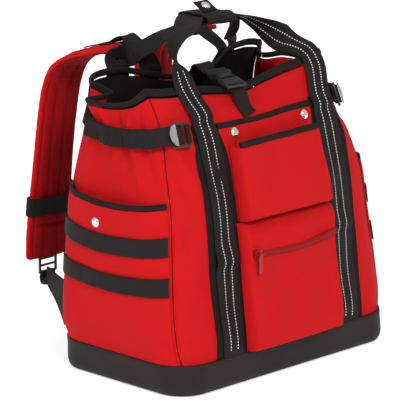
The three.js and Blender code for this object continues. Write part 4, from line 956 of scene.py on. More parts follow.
# Reflective stitching in two rows along the handle webbing
STITCH_SPREAD = 7.2
STITCH_PITCH = 3.9
face_normals = unit(np.cross(rings[:, 10] - rings[:, 0], np.gradient(rings[:, 5], axis=0)))
runs = [slice(2, count + 14), slice(len(rings) - count - 52, len(rings) - 2)]
stitch_rows = []
for run in runs:
    for hand in (-1, 1):
        share = 0.5 + hand * STITCH_SPREAD / HANDLE_WEB_WIDTH
        line = mix(rings[run, 2], rings[run, 8], share) + face_normals[run] * 0.05
        lift = (rings[run, 5] - mix(rings[run, 2], rings[run, 8], 0.5))
        stitch_rows.append(dashes(line + lift, face_normals[run], STITCH_PITCH, 1.9, 1.3))
add_piece("front_handle_stitching", join(stitch_rows), THREAD)

heights = np.linspace(PANEL_TOP - REAR_TAIL, RIM_HEIGHT, 24)
legs = {name: seated(back_at, hand * REAR_ROOT_X, heights, WEB_ON_BACK, hand, HANDLE_WEB_WIDTH, -1)
        for name, hand in HANDS.items()}
grip = [grip_row(x, GRIP_Y + 2, -STACK) for x in (-GRIP_HALF, 0, GRIP_HALF)]
down = part_of(legs["right"], slice(None, None, -1))
rows = loop_rows(REAR_LEFT_LEG, REAR_ROOT_X) + grip + loop_rows(REAR_RIGHT_LEG, REAR_ROOT_X)
rear_run = handle_frames(legs["left"], rows, down)
add_web("rear_handle_webbing", rear_run, HANDLE_WEB_WIDTH, "rear_handle")


# Grip wrap: a padded sleeve round both webbings, with a flap
def oval(count, power=3.2):
    turn = np.linspace(0, 2 * np.pi, count, endpoint=False)
    across, up = np.cos(turn), np.sin(turn)
    size = (abs(across) ** power + abs(up) ** power) ** (-1 / power)
    return np.stack([across * size, up * size], -1) / 2


def sleeve(frames, width, height, wall, puff):
    """Sleeve whose wall swells between its two hemmed ends."""
    swell = puff * np.sin(np.pi * np.linspace(0, 1, len(frames.place))) ** 0.5
    outer = section_rings(frames, width + 2 * (wall + swell), height + 2 * (wall + swell), oval(32))
    inner = section_rings(part_of(frames, slice(None, None, -1)), width, height, oval(32))
    return tube(np.concatenate([outer, inner]), wrap_ends=True)


wrap_x = np.linspace(GRIP_HALF, -GRIP_HALF, 24) * 0.9
wrap_places = np.array([grip_row(x, GRIP_Y + 1, -STACK / 2)[0] for x in wrap_x])
wrap_run = Frames(wrap_places, np.tile([0.0, -1, 0], (24, 1)), np.tile([0.0, 0, 1], (24, 1)))
wrap = sleeve(wrap_run, HANDLE_WEB_WIDTH + 14, WRAP_INSIDE, WRAP_WALL, 0.8)
add_piece("handle_wrap_sleeve", wrap, TAPE, "handle_wrap")

wrap_top = GRIP_HEIGHT - GRIP_DROP / 2 - STACK / 2 + WRAP_INSIDE / 2 + WRAP_WALL


def flap_frames(share):
    share = np.asarray(share, float)
    out = (share - 0.5) * FLAP_LENGTH
    lift = FLAP_LENGTH / 2 * math.sin(FLAP_TILT) + WRAP_WALL / 2 + CLEARANCE + out * math.sin(FLAP_TILT)
    place = np.stack([np.full(share.shape, float(FLAP_X)), GRIP_Y + 2 + out * math.cos(FLAP_TILT),
                      wrap_top + lift + GRIP_DROP * 0.2], -1)
    tile = lambda direction: np.tile(direction, (len(share), 1))
    return Frames(place, tile([1.0, 0, 0]), tile([0.0, -math.sin(FLAP_TILT), math.cos(FLAP_TILT)]))


flap = flap_frames(np.linspace(0, 1, 16))
add_piece("wrap_flap_tape", ribbon(flap, FLAP_WIDTH, WRAP_WALL), TAPE, "wrap_flap")

# Press studs: a rolled rim round a domed cap
SNAP_PROFILE = table("""
radius height
0.00 0.00
0.93 0.00
1.00 0.12
1.00 0.30
0.94 0.42
0.86 0.44
0.82 0.52
0.76 0.74
0.60 0.90
0.35 0.98
0.00 1.00
""")


def snap(name, place, facing, node):
    """Press stud that sits at a place and faces a direction."""
    facing = unit(np.asarray(facing, float))
    across = unit(np.cross(facing, [0.3, 0.2, 1]))
    up = np.cross(facing, across)
    turn = np.linspace(0, 2 * np.pi, 40, endpoint=False)
    circle = np.cos(turn)[:, None] * across + np.sin(turn)[:, None] * up
    base = np.asarray(place, float) + facing * CLEARANCE
    rings = [base + circle * max(radius, 0.01) * SNAP_RADIUS + facing * height * SNAP_THICK
             for radius, height in zip(*SNAP_PROFILE.values())]
    add_piece(name, tube(rings), STEEL, node)


middle = flap_frames([0.5])
snap("wrap_stud", middle.place[0] + middle.normal[0] * WRAP_WALL / 2, middle.normal[0], "wrap_snap")


# Front pockets
def organizer_edges(z):
    half = BAND_X - band_half(z) - 2.5 * CLEARANCE
    return -half, half


heights = np.linspace(POCKET_SPLIT, ORGANIZER_TOP, 60)
organizer = front_sheet(organizer_edges, np.linspace(0, 1, 70), heights, LAYER_GAP, POCKET_WALL)
add_piece("organizer_cloth", organizer, RED, "organizer_pocket")


low, high = ORGANIZER_TOP + CLEARANCE, ORGANIZER_TOP + POCKET_BINDING_HEIGHT
x = np.linspace(*organizer_edges(ORGANIZER_TOP), 90)
roll = binding_roll(x, low, high, CLEARANCE, CLEARANCE + POCKET_WALL + POCKET_BINDING_WALL, at=front_at)
add_piece("organizer_tape", roll, TAPE, "organizer_binding")
for name, x in FRONT_SNAPS.items():
    off = LAYER_GAP + POCKET_WALL + CLEARANCE
    levels = np.array([FRONT_SNAP_HEIGHT, FRONT_SNAP_HEIGHT - 5.0])
    place, below = front_at(np.full(2, x), levels, np.full(2, off))
    slope = place - below
    snap(f"front_stud_{name}", place, [0, -slope[2], slope[1]], f"front_snap_{name}")


def rise(distance, reach):
    """Rounded shoulder: 0 at an edge, 1 from a reach inwards."""
    return np.sqrt(1 - (1 - np.clip(distance / reach, 0, 1)) ** 2)


def pocket(half, low, high, foot, depth, reach, foot_reach, top_reach):
    """Bellows pocket whose sides and foot round over onto the front."""
    x = -half * np.cos(np.pi * np.linspace(0, 1, 84))
    z = mix(low, high, edge_spread(76) if top_reach else 1 - np.cos(np.pi / 2 * np.linspace(0, 1, 76)))
    x, z = np.meshgrid(x, z)
    sides = rise(half - abs(x), reach)
    ends = rise(z - low, foot_reach) * (rise(high - z, top_reach) if top_reach else 1)
    crown = 1 + (POCKET_CROWN - 1) * np.cos(np.pi * x / half / 2)
    crown = crown + 0.05 * np.sin(z / 19 + x / 31) + 0.03 * np.sin(x / 13)
    off = foot + depth * sides * ends * crown
    outer = front_at(x, z, off)
    across, up = np.gradient(outer, axis=1), np.gradient(outer, axis=0)
    return sheet(outer, outer - unit(np.cross(across, up)) * POCKET_WALL)


UPPER_FOOT = 2 * LAYER_GAP + POCKET_WALL + CLEARANCE + POCKET_WALL / 2
LOWER_FOOT = 2 * LAYER_GAP + BAND_WALL + CLEARANCE + POCKET_WALL / 2
LOWER_TOP = POCKET_SPLIT - 3 * CLEARANCE
upper = pocket(UPPER_POCKET_HALF_WIDTH, POCKET_SPLIT, UPPER_POCKET_TOP, UPPER_FOOT, UPPER_POCKET_DEPTH,
               reach=7, foot_reach=9, top_reach=0)
lower = pocket(LOWER_POCKET_HALF_WIDTH, BAND_FOOT + CLEARANCE, LOWER_TOP, LOWER_FOOT, LOWER_POCKET_DEPTH,
               reach=7, foot_reach=6, top_reach=22)
add_piece("upper_pocket_cloth", upper, RED, "upper_pocket")
add_piece("lower_pocket_cloth", lower, RED, "lower_pocket")

half = UPPER_POCKET_HALF_WIDTH - GUSSET_TAPER + 1
inside = UPPER_FOOT + UPPER_POCKET_DEPTH - POCKET_WALL - POCKET_BINDING_WALL
outside_off = inside + POCKET_WALL + 2 * POCKET_BINDING_WALL + UPPER_POCKET_DEPTH * (POCKET_CROWN - 1)
low, high = UPPER_POCKET_TOP + CLEARANCE, UPPER_POCKET_TOP + POCKET_BINDING_HEIGHT
roll = binding_roll(np.linspace(-half, half, 80), low, high, inside, outside_off, at=front_at)
add_piece("upper_pocket_tape", roll, TAPE, "upper_pocket_binding")

# Zip across the lower pocket: tape, two rows of teeth and the slider
pocket_face = LOWER_FOOT + LOWER_POCKET_DEPTH * POCKET_CROWN
ZIP_HALF = LOWER_POCKET_HALF_WIDTH - GUSSET_TAPER - 2


def zip_line(x):
    return ZIP_HEIGHT + ZIP_SAG * ((x / LOWER_POCKET_HALF_WIDTH) ** 2 - 0.5)


x, up = np.meshgrid(np.linspace(-ZIP_HALF, ZIP_HALF, 120), np.linspace(-0.5, 0.5, 13))
z = zip_line(x) + up * ZIP_WIDTH
groove = 0.5 * np.exp(-((up * ZIP_WIDTH) / 1.2) ** 2)
tape_back = pocket_face + CLEARANCE
tape = sheet(front_at(x, z, tape_back + ZIP_WALL - groove), front_at(x, z, tape_back))
add_piece("zip_cloth", tape, ZIP_RED, "zip_tape")
teeth = []
for hand in (-1, 1):
    x = np.linspace(-ZIP_HALF + 3, ZIP_HALF - 3, 160)
    z = zip_line(x) + hand * 0.9
    line = front_at(x, z, pocket_face + CLEARANCE + ZIP_WALL - 0.1)
    outward = unit(front_at(x, z, pocket_face + 5) - front_at(x, z, pocket_face))
    teeth.append(dashes(line, outward, 1.7, 1.0, 1.7, 0.7))
add_piece("zip_teeth", join(teeth), RED_METAL)
for name in ("zip_slider", "zip_pull"):
    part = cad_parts[name]
    part.data.materials.clear()
    part.data.materials.append(RED_METAL)
    rounding = part.modifiers.new("Rounding", "BEVEL")
    rounding.width, rounding.segments, rounding.limit_method = 0.35 * MM, 3, "ANGLE"

# Side pockets
def pocket_sag(across, z):
    return SIDE_POCKET_SAG * np.sin(np.pi * across) * smooth(BAND_FOOT, SIDE_POCKET_TOP, z)


def pocket_swell(across, z):
    out = SIDE_POCKET_DEPTH * np.sin(np.pi * across) * smooth(BAND_FOOT, SIDE_POCKET_TOP * 0.8, z)
    return LAYER_GAP + POCKET_WALL + out


def held(z):
    """1 where a webbing band holds the side pocket's cloth in, 0 away from it."""
    half = SMALL_WEB_WIDTH / 2
    return sum(1 - smooth(half, half + 7, abs(z - height)) for height in SIDE_BANDS.values())


def side_sheet(side, heights, offsets, columns=70):
    across, z = np.meshgrid(mix(0.02, 0.98, edge_spread(columns)), heights)
    inside, outside_off = offsets(across, z)
    u, low = side + across, z - pocket_sag(across, z)
    return sheet(body_at(u, low, outside_off), body_at(u, low, inside))


def pocket_layers(across, z):
    belly = 1.3 * (1 - held(z)) * smooth(BAND_FOOT, BAND_FOOT + 30, z) * np.sin(np.pi * across) ** 0.5
    out = pocket_swell(across, np.minimum(z, SIDE_POCKET_TOP))
    return out - POCKET_WALL, out + belly


def band_layers(across, z):
    out = pocket_swell(across, z) + LAYER_GAP
    middle = z.mean(0, keepdims=True)
    edge = 0.3 * np.exp(-((SMALL_WEB_WIDTH / 2 - abs(z - middle)) / 1.0) ** 2)
    return out, out + WEB_THICK - edge


for name, hand in HANDS.items():
    side = 3 if hand < 0 else 1
    heights = np.linspace(BAND_FOOT, SIDE_POCKET_TOP, 80)
    cloth = side_sheet(side, heights, pocket_layers)
    add_piece(f"side_pocket_{name}_cloth", cloth, RED, f"side_pocket_{name}")

    def on_pocket(u, z, off, side=side):
        across = u - side
        swell = pocket_swell(across, np.minimum(z, SIDE_POCKET_TOP))
        return body_at(u, z - pocket_sag(across, z), off + swell)

    u = side + mix(0.02, 0.98, edge_spread(90))
    roll = binding_roll(u, SIDE_POCKET_TOP + CLEARANCE, SIDE_POCKET_TOP + POCKET_BINDING_HEIGHT,
                        -POCKET_WALL - POCKET_BINDING_WALL / 2, POCKET_BINDING_WALL, at=on_pocket)
    add_piece(f"side_pocket_{name}_tape", roll, TAPE, f"side_pocket_binding_{name}")
    for level, height in SIDE_BANDS.items():
        heights = np.linspace(height - SMALL_WEB_WIDTH / 2, height + SMALL_WEB_WIDTH / 2, 14)
        add_piece(f"side_web_{level}_{name}", side_sheet(side, heights, band_layers), WEBBING,
                  f"side_band_{level}_{name}")
    across = SIDE_SNAP_SHARE if hand < 0 else 1 - SIDE_SNAP_SHARE
    height = mix(SIDE_BANDS["upper"] + SMALL_WEB_WIDTH / 2, SIDE_POCKET_TOP, SIDE_SNAP_RISE)
    off = pocket_swell(across, height) + LAYER_GAP
    low = np.full(2, height - pocket_sag(across, height))
    base, away = body_at(np.full(2, side + across), low, np.array([off, off + 1]))
    snap(f"side_stud_{name}", base, away - base, f"side_snap_{name}")

# Cinch straps
CINCH_ROUTE = table("""
turn height
0.00 0.885
0.45 0.851
0.85 0.856
1.12 0.864
""")


def lying(u, z, off, hand, outwards=1):
    """Frames of webbing that lies along the body, travelling towards the front."""
    low, high = (body_at(u, z + shift * SMALL_WEB_WIDTH / 2, off) for shift in (-1, 1))
    side = unit(high - low) * -hand
    ahead = (body_at(u, z, off + 1) - body_at(u, z, off)) * outwards
    normal = unit(ahead - (ahead * side).sum(-1, keepdims=True) * side)
    return Frames((low + high) / 2, side, normal)


def bent(centre, along, outward, side, radius, count=9):
    """Frames of webbing that turns back round a bar."""
    turn = np.linspace(-0.5, 0.5, count)[:, None] * np.pi
    normal = along * np.cos(turn) + outward * np.sin(turn)
    return Frames(centre + normal * radius, np.tile(side, (count, 1)), normal)


def rounded_box(size, centre, radius, steps=3):
    """Box with rounded edges, as a shape; sizes and centre are along its own x, y and z."""
    size, centre = np.asarray(size, float), np.asarray(centre, float)
    radius = min(radius, size.min() / 2 - 0.01)
    work = bmesh.new()
    bmesh.ops.create_cube(work, size=1)
    for corner in work.verts:
        corner.co = Vector(np.array(corner.co) * size + centre)
    bmesh.ops.bevel(work, geom=work.edges[:], offset=radius, segments=steps, profile=0.5, affect="EDGES")
    work.verts.index_update()
    points = np.array([corner.co for corner in work.verts])
    faces = [[corner.index for corner in face.verts] for face in work.faces]
    work.free()
    return Shape(points, faces, np.zeros((sum(map(len, faces)), 2)))


def placed(shape, place, along, outward):
    """A shape made in its own axes, set down with x along and z outward."""
    up = np.cross(outward, along)
    return Shape(place + shape.points @ np.stack([along, up, outward]), shape.faces, shape.uvs)


def thumb_tab(length, width, lift):
    """Half-moon tab, from x = 0 towards -x, that curls up a little at its tip."""
    turn = np.linspace(-np.pi / 2, np.pi / 2, 24)
    rings = []
    for size in (0.05, 0.45, 0.8, 0.94, 1.0):
        thick = 0.5 * (1 - 0.5 * smooth(0.8, 1.0, size))
        x, y = -length * np.cos(turn) * size, width / 2 * np.sin(turn) * size
        top = [np.stack([x, y, lift * (x / length) ** 2 + sign * thick * 1.6], -1) for sign in (1, -1)]
        rings.append(np.concatenate([top[0], top[1][::-1]]))
    grid = np.stack(rings)
    return tube(grid)


def lock_shape(length, bars):
    """Ladder lock: two rails and the bars between them."""
    rail = (LOCK_WIDTH - SMALL_WEB_WIDTH) / 2 - CLEARANCE
    shapes = [rounded_box((length, rail, BAR_THICK), (0, end * (LOCK_WIDTH - rail) / 2, 0), 1.1)
              for end in (-1, 1)]
    shapes += [rounded_box((BAR_THICK, LOCK_WIDTH - rail, BAR_THICK), (at, 0, 0), 1.1) for at in bars]
    return join(shapes)


LOCK_BARS = [-CINCH_LOCK_LENGTH / 2 + BAR_THICK / 2, -1, CINCH_LOCK_LENGTH / 2 - BAR_THICK / 2]
for name, hand in HANDS.items():
    start = 3 if hand < 0 else 2

    def lie(share, off, outwards=1, start=start, hand=hand):
        share = np.atleast_1d(share)
        height = look_up(CINCH_ROUTE, "turn", "height", share) * RIM_HEIGHT
        return lying(start - hand * share, height, np.broadcast_to(off, share.shape), hand, outwards)

    lock_share = LOCK_SHARE[name]
    lock_off = UNDER_OFF + WEB_THICK / 2 + 2 * CLEARANCE + BAR_THICK / 2
    under = lie(lock_share, UNDER_OFF)
    outward, side = under.normal[0], under.side[0]
    along = -unit(np.cross(outward, side))
    centre = under.place[0] + outward * (lock_off - UNDER_OFF)
    reach = lock_off - UNDER_OFF + 0.4
    on_bar = lambda bar: centre + along * bar
    inner = lie(np.linspace(0.02, lock_share - 0.06, 60), UNDER_OFF, -1)
    bend = bent(on_bar(LOCK_BARS[1]), along, outward, side, reach)
    over_place = on_bar(LOCK_BARS[0] - 4) + outward * reach
    over = Frames(over_place[None], side[None], outward[None])
    shares = np.linspace(lock_share - 0.17, TAIL_SHARE, 44)
    settled = smooth(0, 14, np.arange(1, 45))
    offs = mix(lock_off + reach, UNDER_OFF + WEB_THICK + 2.5 * CLEARANCE, settled)
    offs = np.maximum(offs, UNDER_OFF + WEB_THICK + 2.5 * CLEARANCE) + 3.4 * smooth(36, 44, np.arange(44))
    run = chain(inner, bend, over, lie(shares, offs))
    add_web(f"cinch_web_{name}", refine(run, 190), SMALL_WEB_WIDTH, f"cinch_strap_{name}")
    lock = lock_shape(CINCH_LOCK_LENGTH, LOCK_BARS)
    add_piece(f"cinch_ladder_{name}", placed(lock, centre, along, outward), PLASTIC, f"cinch_lock_{name}")
    tab_bend = bent(on_bar(LOCK_BARS[2]), -along, outward, -side, reach)
    first, last = (part_of(tab_bend, [i]) for i in (0, -1))
    first, last = (end._replace(place=end.place + along * TAB_REACH) for end in (first, last))
    add_web(f"cinch_loop_{name}", chain(first, tab_bend, last), SMALL_WEB_WIDTH, f"cinch_tab_{name}")
    thumb = thumb_tab(11, LOCK_WIDTH - 4, 2.5)
    thumb_place = on_bar(LOCK_BARS[0] + 4) + outward * (reach + WEB_THICK + 0.9)
    thumb = placed(thumb, thumb_place, along, outward)
    # The thumb tab is black plastic; its grey finish is a painted highlight, not its own colour
    add_piece(f"cinch_thumb_{name}", thumb, PAINTED_HIGHLIGHT_PLASTIC)

# Closure strap and its side-release buckle
buckle_start = np.array([BUCKLE_X, -BUCKLE_FRONT, RIM_HEIGHT - BUCKLE_BELOW_RIM], float)
buckle_along = unit(np.array([BUCKLE_SKEW, 1, BUCKLE_RISE]))
buckle_side = unit(np.array([1.0, 0, 0]) - buckle_along[0] * buckle_along)
buckle_up = np.cross(buckle_side, buckle_along)
BUCKLE_REACH = LATCH_LENGTH + CLEARANCE + BUCKLE_LENGTH


def on_buckle(travel, up=0.0):
    return buckle_start + buckle_along * travel + buckle_up * up


def plate(outline, thickness):
    """Flat plate from an outline of x and y, centred on z."""
    outline = np.asarray(outline, float)
    levels = (-thickness / 2, thickness / 2)
    return tube([np.column_stack([outline, np.full(len(outline), level)]) for level in levels])


def frame_end(length):
    """Webbing end of a buckle half: two rails, two bars and the slot between them."""
    rail = (BUCKLE_WIDTH - CLOSURE_WIDTH) / 2 - 1
    rails = [rounded_box((length, rail, 4.5), (length / 2, end * (BUCKLE_WIDTH - rail) / 2, 0), 1.2)
             for end in (-1, 1)]
    return rails + [rounded_box((2.6, BUCKLE_WIDTH - 2, 4.5), (at, 0, 0), 1.2) for at in (1.4, length - 1.2)]


body_half = [[8, -16], [11, -17], [15, -17], [15, -12.5], [21, -11.5], [24.5, -12], [26, -13.5], [26, 13.5],
             [24.5, 12], [21, 11.5], [15, 12.5], [15, 17], [11, 17], [8, 16]]
body_shape = join([*frame_end(10), plate(body_half, BUCKLE_THICK * 0.9),
                   rounded_box((13, 15, 1.2), (17, 0, BUCKLE_THICK * 0.45 + 0.3), 0.5)])
socket = placed(body_shape, on_buckle(BUCKLE_REACH), -buckle_along, buckle_up)
add_piece("buckle_socket", socket, PLASTIC, "buckle_body", bevel=0.9)
prong = np.array([[9, 8], [9, 16], [21, 16.4], [30, 14], [33, 11.5], [32, 9.5], [27, 11.5], [18, 12.6]])
prongs = [plate(prong * [1, end], 4.0) for end in (-1, 1)]
latch_plate = plate([[8, -16], [20, -15], [20, 15], [8, 16]], BUCKLE_THICK * 0.7)
latch_shape = join([*frame_end(9), latch_plate, *prongs])
latch = placed(latch_shape, on_buckle(0), buckle_along, buckle_up)
add_piece("buckle_prongs", latch, PLASTIC, "buckle_latch", bevel=0.7)


def rows_frames(rows, count):
    places, across = zip(*rows)
    return curve_frames(places, across, np.linspace(0, 1, count))


under_latch = -LATCH_THICK / 2 - WEB_THICK / 2 - CLEARANCE
on_front = lambda x, z, off: front_at(np.array([x]), np.array([z]), np.array([off]))[0]
ACROSS = [1, 0, 0]
front_rows = [on_front(BUCKLE_X + 6.0, ORGANIZER_TOP + 12.0, WEB_THICK + 1),
              on_front(BUCKLE_X + 3.0, ORGANIZER_TOP + 26.0, WEB_THICK + 2),
              on_buckle(-6, under_latch - 1), on_buckle(2, under_latch)]
front_closure = rows_frames([(row, ACROSS) for row in front_rows], 30)
add_web("closure_web_front", front_closure, CLOSURE_WIDTH, "closure_strap_front")


def down_back(x, tail, width, off):
    """Frames of webbing down the back wall, from the rim over the length of its tail."""
    return seated(back_at, x, np.linspace(RIM_HEIGHT, RIM_HEIGHT - tail, 24), off, 1, width, -1)


def strap_down_back(rows, legs, count):
    """Frames of webbing through free rows, then flat down the back wall."""
    places, across = zip(*rows, (legs.place[0], legs.side[0]), (legs.place[6], legs.side[6]))
    free = curve_frames(places, across, np.linspace(0, len(rows) / (len(rows) + 1), count)[:-1])
    return chain(free, legs)


under_body = -BUCKLE_THICK / 2 - WEB_THICK / 2 - CLEARANCE
back_closure = [(on_buckle(BUCKLE_REACH - 3, under_body - 0.6), ACROSS),
                (on_buckle(BUCKLE_REACH + 5, under_body), ACROSS),
                ([CLOSURE_BACK_X - 9, 0.21 * HALF_DEPTH, RIM_HEIGHT + 2], ACROSS),
                ([CLOSURE_BACK_X - 3, 0.315 * HALF_DEPTH, RIM_HEIGHT - 2], ACROSS)]
closure_legs = down_back(CLOSURE_BACK_X, CLOSURE_TAIL, CLOSURE_WIDTH, WEB_ON_BACK + 6 * LAYER_GAP)
run = strap_down_back(back_closure, closure_legs, 40)
add_web("closure_web_back", run, CLOSURE_WIDTH, "closure_strap_back")

# Shoulder straps
PAD_ROUTE = table("""
x out up
1.000 1.000 0.272
0.991 0.991 0.385
0.962 0.972 0.513
0.925 0.954 0.641
0.877 0.935 0.769
0.821 0.898 0.885
0.783 0.815 0.949
0.745 0.648 0.990
0.717 0.407 1.018
0.689 0.148 1.038
0.670 -0.074 1.051
""")
ROOT_ROUTE = [(0.623, -0.056, 1.087), (0.585, -0.157, 1.069)]
WING_TIP = (1.170, 0.815, 0.215)
WEB_BEND = (1.085, 0.926, 0.205)


def strap_place(hand, x, out, up):
    """Places on a shoulder strap from shares of its hem's spacing, its reach and the rim's height."""
    return np.stack([hand * x * STRAP_HEM_X, HALF_DEPTH + out * PAD_REACH, up * RIM_HEIGHT], -1)


ON_PAD = [0.78, 0.85, 0.92]
ABOVE_PAD = PAD_THICK / 2 + 2 * CLEARANCE + WEB_THICK / 2
ADJUST_BARS = [share * (ADJUST_LOCK_LENGTH - BAR_THICK) for share in (-0.5, 0, 0.5)]

# Half section of the pad, as shares of width and thickness: bound edge, groove and padded channels
PAD_HALF = table("""
across up
0.500 0.00
0.497 0.16
0.480 0.24
0.400 0.26
0.385 0.20
0.370 0.27
0.345 0.38
0.290 0.47
0.230 0.49
0.175 0.45
0.150 0.36
0.125 0.45
0.060 0.50
0.000 0.50
""")
half_points = np.stack([PAD_HALF["across"], PAD_HALF["up"]], -1)
quarter = half_points[::-1]
PAD_SECTION = np.concatenate([half_points * [-1, 1], quarter[1:] * [1, 1], half_points[1:] * [1, -1],
                              quarter[1:-1] * [-1, -1]])


def pad_spread(share):
    return PAD_WIDTH + PAD_FLARE * (1 - smooth(0, 0.35, share))


def pad_curve(hand, share):
    places = strap_place(hand, *PAD_ROUTE.values())
    return curve_frames(places, np.tile([float(hand), 0, 0], (len(places), 1)), np.atleast_1d(share))


def pad_share(z):
    share = np.linspace(0, 0.6, 2000)
    return float(np.interp(z, pad_curve(1, share).place[:, 2], share))


CROSS_SEAM = 0.105
for name, hand in HANDS.items():
    share = np.concatenate([[0, 0.002, 0.006], np.linspace(0.012, 0.99, 170), [0.995, 1]])
    run = pad_curve(hand, share)
    ends = 1 - 0.14 * (1 - rise(share, 0.02)) - 0.3 * (1 - rise(1 - share, 0.03))
    pinch = 1 - 0.35 * np.exp(-((share - CROSS_SEAM) / 0.004) ** 2) - 0.3 * (1 - smooth(0, 0.1, share))
    ripple = 1 + 0.05 * np.sin(share * 97) + 0.03 * np.sin(share * 213 + 1)
    outward = Frames(run.place, hand * run.side, hand * run.normal)
    rings = section_rings(outward, pad_spread(share) * ends, PAD_THICK * ends * pinch * ripple, PAD_SECTION)
    pad = add_piece(f"shoulder_pad_{name}_cloth", tube(rings), RED, f"shoulder_pad_{name}",
                    sharp=70)
    pad.data.materials.append(DARK_RED)
    sides = len(PAD_SECTION)
    columns = np.tile(np.arange(sides), len(rings) - 1)
    facing_bag = np.isin(columns, [i for i in range(sides) if abs(PAD_SECTION[i, 0]) < 0.39
                                   and abs(PAD_SECTION[(i + 1) % sides, 0]) < 0.39 and PAD_SECTION[i, 1] > 0])
    slots = np.zeros(len(pad.data.polygons), np.int32)
    slots[:len(columns)] = facing_bag
    pad.data.polygons.foreach_set("material_index", slots)

    on_pad = pad_curve(hand, ON_PAD)
    rows = [(place - hand * normal * ABOVE_PAD, ACROSS) for place, normal in zip(on_pad.place, on_pad.normal)]
    rows += [(strap_place(hand, *row), ACROSS) for row in ROOT_ROUTE]
    legs = down_back(hand * STRAP_ROOT_X, STRAP_ROOT_TAIL, ROOT_WEB_WIDTH, WEB_ON_BACK + LAYER_GAP)
    run = strap_down_back(rows, legs, 60)
    add_web(f"shoulder_web_{name}", run, ROOT_WEB_WIDTH, f"shoulder_webbing_{name}")

    keeper_at = pad_share(KEEPER_HEIGHT)
    keeper_step = KEEPER_WIDTH / 2 / PAD_LENGTH
    keeper_run = pad_curve(hand, np.linspace(keeper_at + keeper_step, keeper_at - keeper_step, 8))
    inside = pad_spread(keeper_at) + KEEPER_PLAY, PAD_THICK + KEEPER_PLAY
    keeper = sleeve(keeper_run, *inside, KEEPER_WALL, 0.1)
    add_piece(f"strap_keeper_{name}_web", keeper, TAPE, f"strap_keeper_{name}")

    hem = pad_curve(hand, 0).place[0]
    lock_place = np.array([hem[0], hem[1], hem[2] - 2 * CLEARANCE - ADJUST_LOCK_LENGTH / 2])
    lock = lock_shape(ADJUST_LOCK_LENGTH, ADJUST_BARS)
    lock = placed(lock, lock_place, np.array([0.0, 0, 1]), np.array([0.0, 1, 0]))
    add_piece(f"adjuster_ladder_{name}", lock, PLASTIC, f"adjuster_lock_{name}")

    apex = strap_place(hand, *WING_TIP)
    corner_u = 2.0 if hand > 0 else 3.0
    seam = body_at(np.full(2, corner_u), np.array([WING_LOW, WING_HIGH], float), 2 * LAYER_GAP + WING_WALL)
    seam_middle = seam.mean(0)
    run_to = apex - seam_middle
    wing_normal = unit(np.array([-hand * run_to[1], hand * run_to[0], 0]))
    share = np.linspace(0, 1, 30)
    fall = 4 * np.sin(np.pi * share)
    place = seam_middle + run_to * np.maximum(share, 0.02)[:, None] + wing_normal * (0.35 * fall)[:, None]
    wing = Frames(place, np.tile([0.0, 0, hand], (30, 1)), np.tile(wing_normal, (30, 1)))
    width = mix(WING_HIGH - WING_LOW, SMALL_WEB_WIDTH + 3, share) - 0.8 * fall
    add_piece(f"strap_wing_{name}_cloth", ribbon(wing, width, WING_WALL), BLACK, f"strap_wing_{name}")

    under_lock = hem[1] - BAR_THICK / 2 - 2 * CLEARANCE - WEB_THICK / 2
    ahead = unit(run_to)
    entry = [hem[0] + 2.5 * hand, under_lock - 0.5, hem[2] - 1.32 * ADJUST_LOCK_LENGTH]
    tail = [hem[0] + 2 * hand, under_lock, hem[2] - 0.82 * ADJUST_LOCK_LENGTH]
    rows = [(apex + ahead * CLEARANCE, [0, 0, -1]), (apex + ahead * 6, [0, 0, -1]),
            (strap_place(hand, *WEB_BEND), [hand * 0.7, 0, -0.7]),
            (entry, [hand, 0, 0]), (tail, [hand, 0, 0])]
    run = rows_frames(rows, 40)
    add_web(f"adjuster_web_{name}", run, SMALL_WEB_WIDTH, f"adjuster_webbing_{name}")

keeper_at = pad_share(KEEPER_HEIGHT)
keeper_place = pad_curve(1, keeper_at).place[0]
span = keeper_place[0] - (pad_spread(keeper_at) + KEEPER_PLAY) / 2 - KEEPER_WALL - 3 * CLEARANCE
share = np.linspace(-1, 1, 60)
height = KEEPER_HEIGHT - STERNUM_SAG * (1 - share ** 2)
places = np.stack([share * span, np.full(60, keeper_place[1]), height], -1)
sternum = curve_frames(places, np.tile([0.0, 0, 1], (60, 1)), np.linspace(0, 1, 80))
add_web("sternum_web", sternum, STERNUM_WIDTH, "sternum_strap")


# Floor, light and camera
LIGHT_AIM = Vector((0, 0, 0.2))
FLOOR_REACH = 20
FLOOR_GLOW = 0.48
WORLD_STRENGTH = 0.6


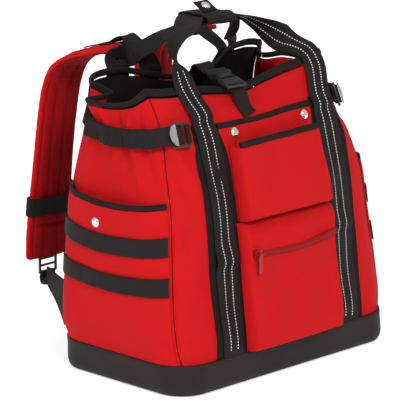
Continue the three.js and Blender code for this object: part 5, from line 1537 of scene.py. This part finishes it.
def area_light(name, place, size, power):
    """Round soft light, in metres and watts, aimed at the bag."""
    light = bpy.data.lights.new(name, "AREA")
    light.shape, light.size, light.energy = "DISK", size, power
    lamp = bpy.data.objects.new(name, light)
    lamp.location = place
    lamp.rotation_mode = "QUATERNION"
    lamp.rotation_quaternion = (LIGHT_AIM - Vector(place)).to_track_quat("-Z", "Y")
    bpy.context.scene.collection.objects.link(lamp)


floor_mesh = bpy.data.meshes.new("floor")
corners = [(-1, -1), (1, -1), (1, 1), (-1, 1)]
corners = [(x * FLOOR_REACH, y * FLOOR_REACH, -0.0004) for x, y in corners]
floor_mesh.from_pydata(corners, [], [(0, 1, 2, 3)])
glow = {"Emission_Color": (1, 1, 1, 1), "Emission_Strength": FLOOR_GLOW}
floor_finish = Finish("pale_floor", (0.90, 0.90, 0.90), 0.9, **glow)
floor_mesh.materials.append(floor_finish.material)
floor = bpy.data.objects.new("floor", floor_mesh)
bpy.context.scene.collection.objects.link(floor)

world = bpy.data.worlds.new("studio")
world.use_nodes = True
world.node_tree.nodes["Background"].inputs["Color"].default_value = (1, 1, 1, 1)
world.node_tree.nodes["Background"].inputs["Strength"].default_value = WORLD_STRENGTH
bpy.context.scene.world = world
bpy.context.scene.view_settings.view_transform = "Standard"
area_light("key_light", (-1.2, -2.6, 2.8), 1.0, 85)
area_light("side_light", (-2.8, -0.2, 2.4), 0.8, 34)

camera_data = bpy.data.cameras.new("camera")
camera_data.lens, camera_data.sensor_width = LENS, SENSOR
camera_data.clip_start, camera_data.clip_end = 0.1, 100
camera = bpy.data.objects.new("camera", camera_data)
azimuth, elevation = math.radians(CAMERA_AZIMUTH), math.radians(CAMERA_ELEVATION)
level = math.cos(elevation)
back = np.array([math.sin(azimuth) * level, -math.cos(azimuth) * level, math.sin(elevation)])
right = np.array([math.cos(azimuth), math.sin(azimuth), 0])
up = np.cross(back, right)
centre = np.array([0, 0, AIM_HEIGHT]) + right * CAMERA_RIGHT + up * CAMERA_UP + back * CAMERA_DISTANCE
turn = np.stack([right, up, back], 1)
camera.matrix_world = Matrix([[*row, place] for row, place in zip(turn, centre * MM)] + [[0, 0, 0, 1]])
bpy.context.scene.collection.objects.link(camera)
bpy.context.scene.camera = camera
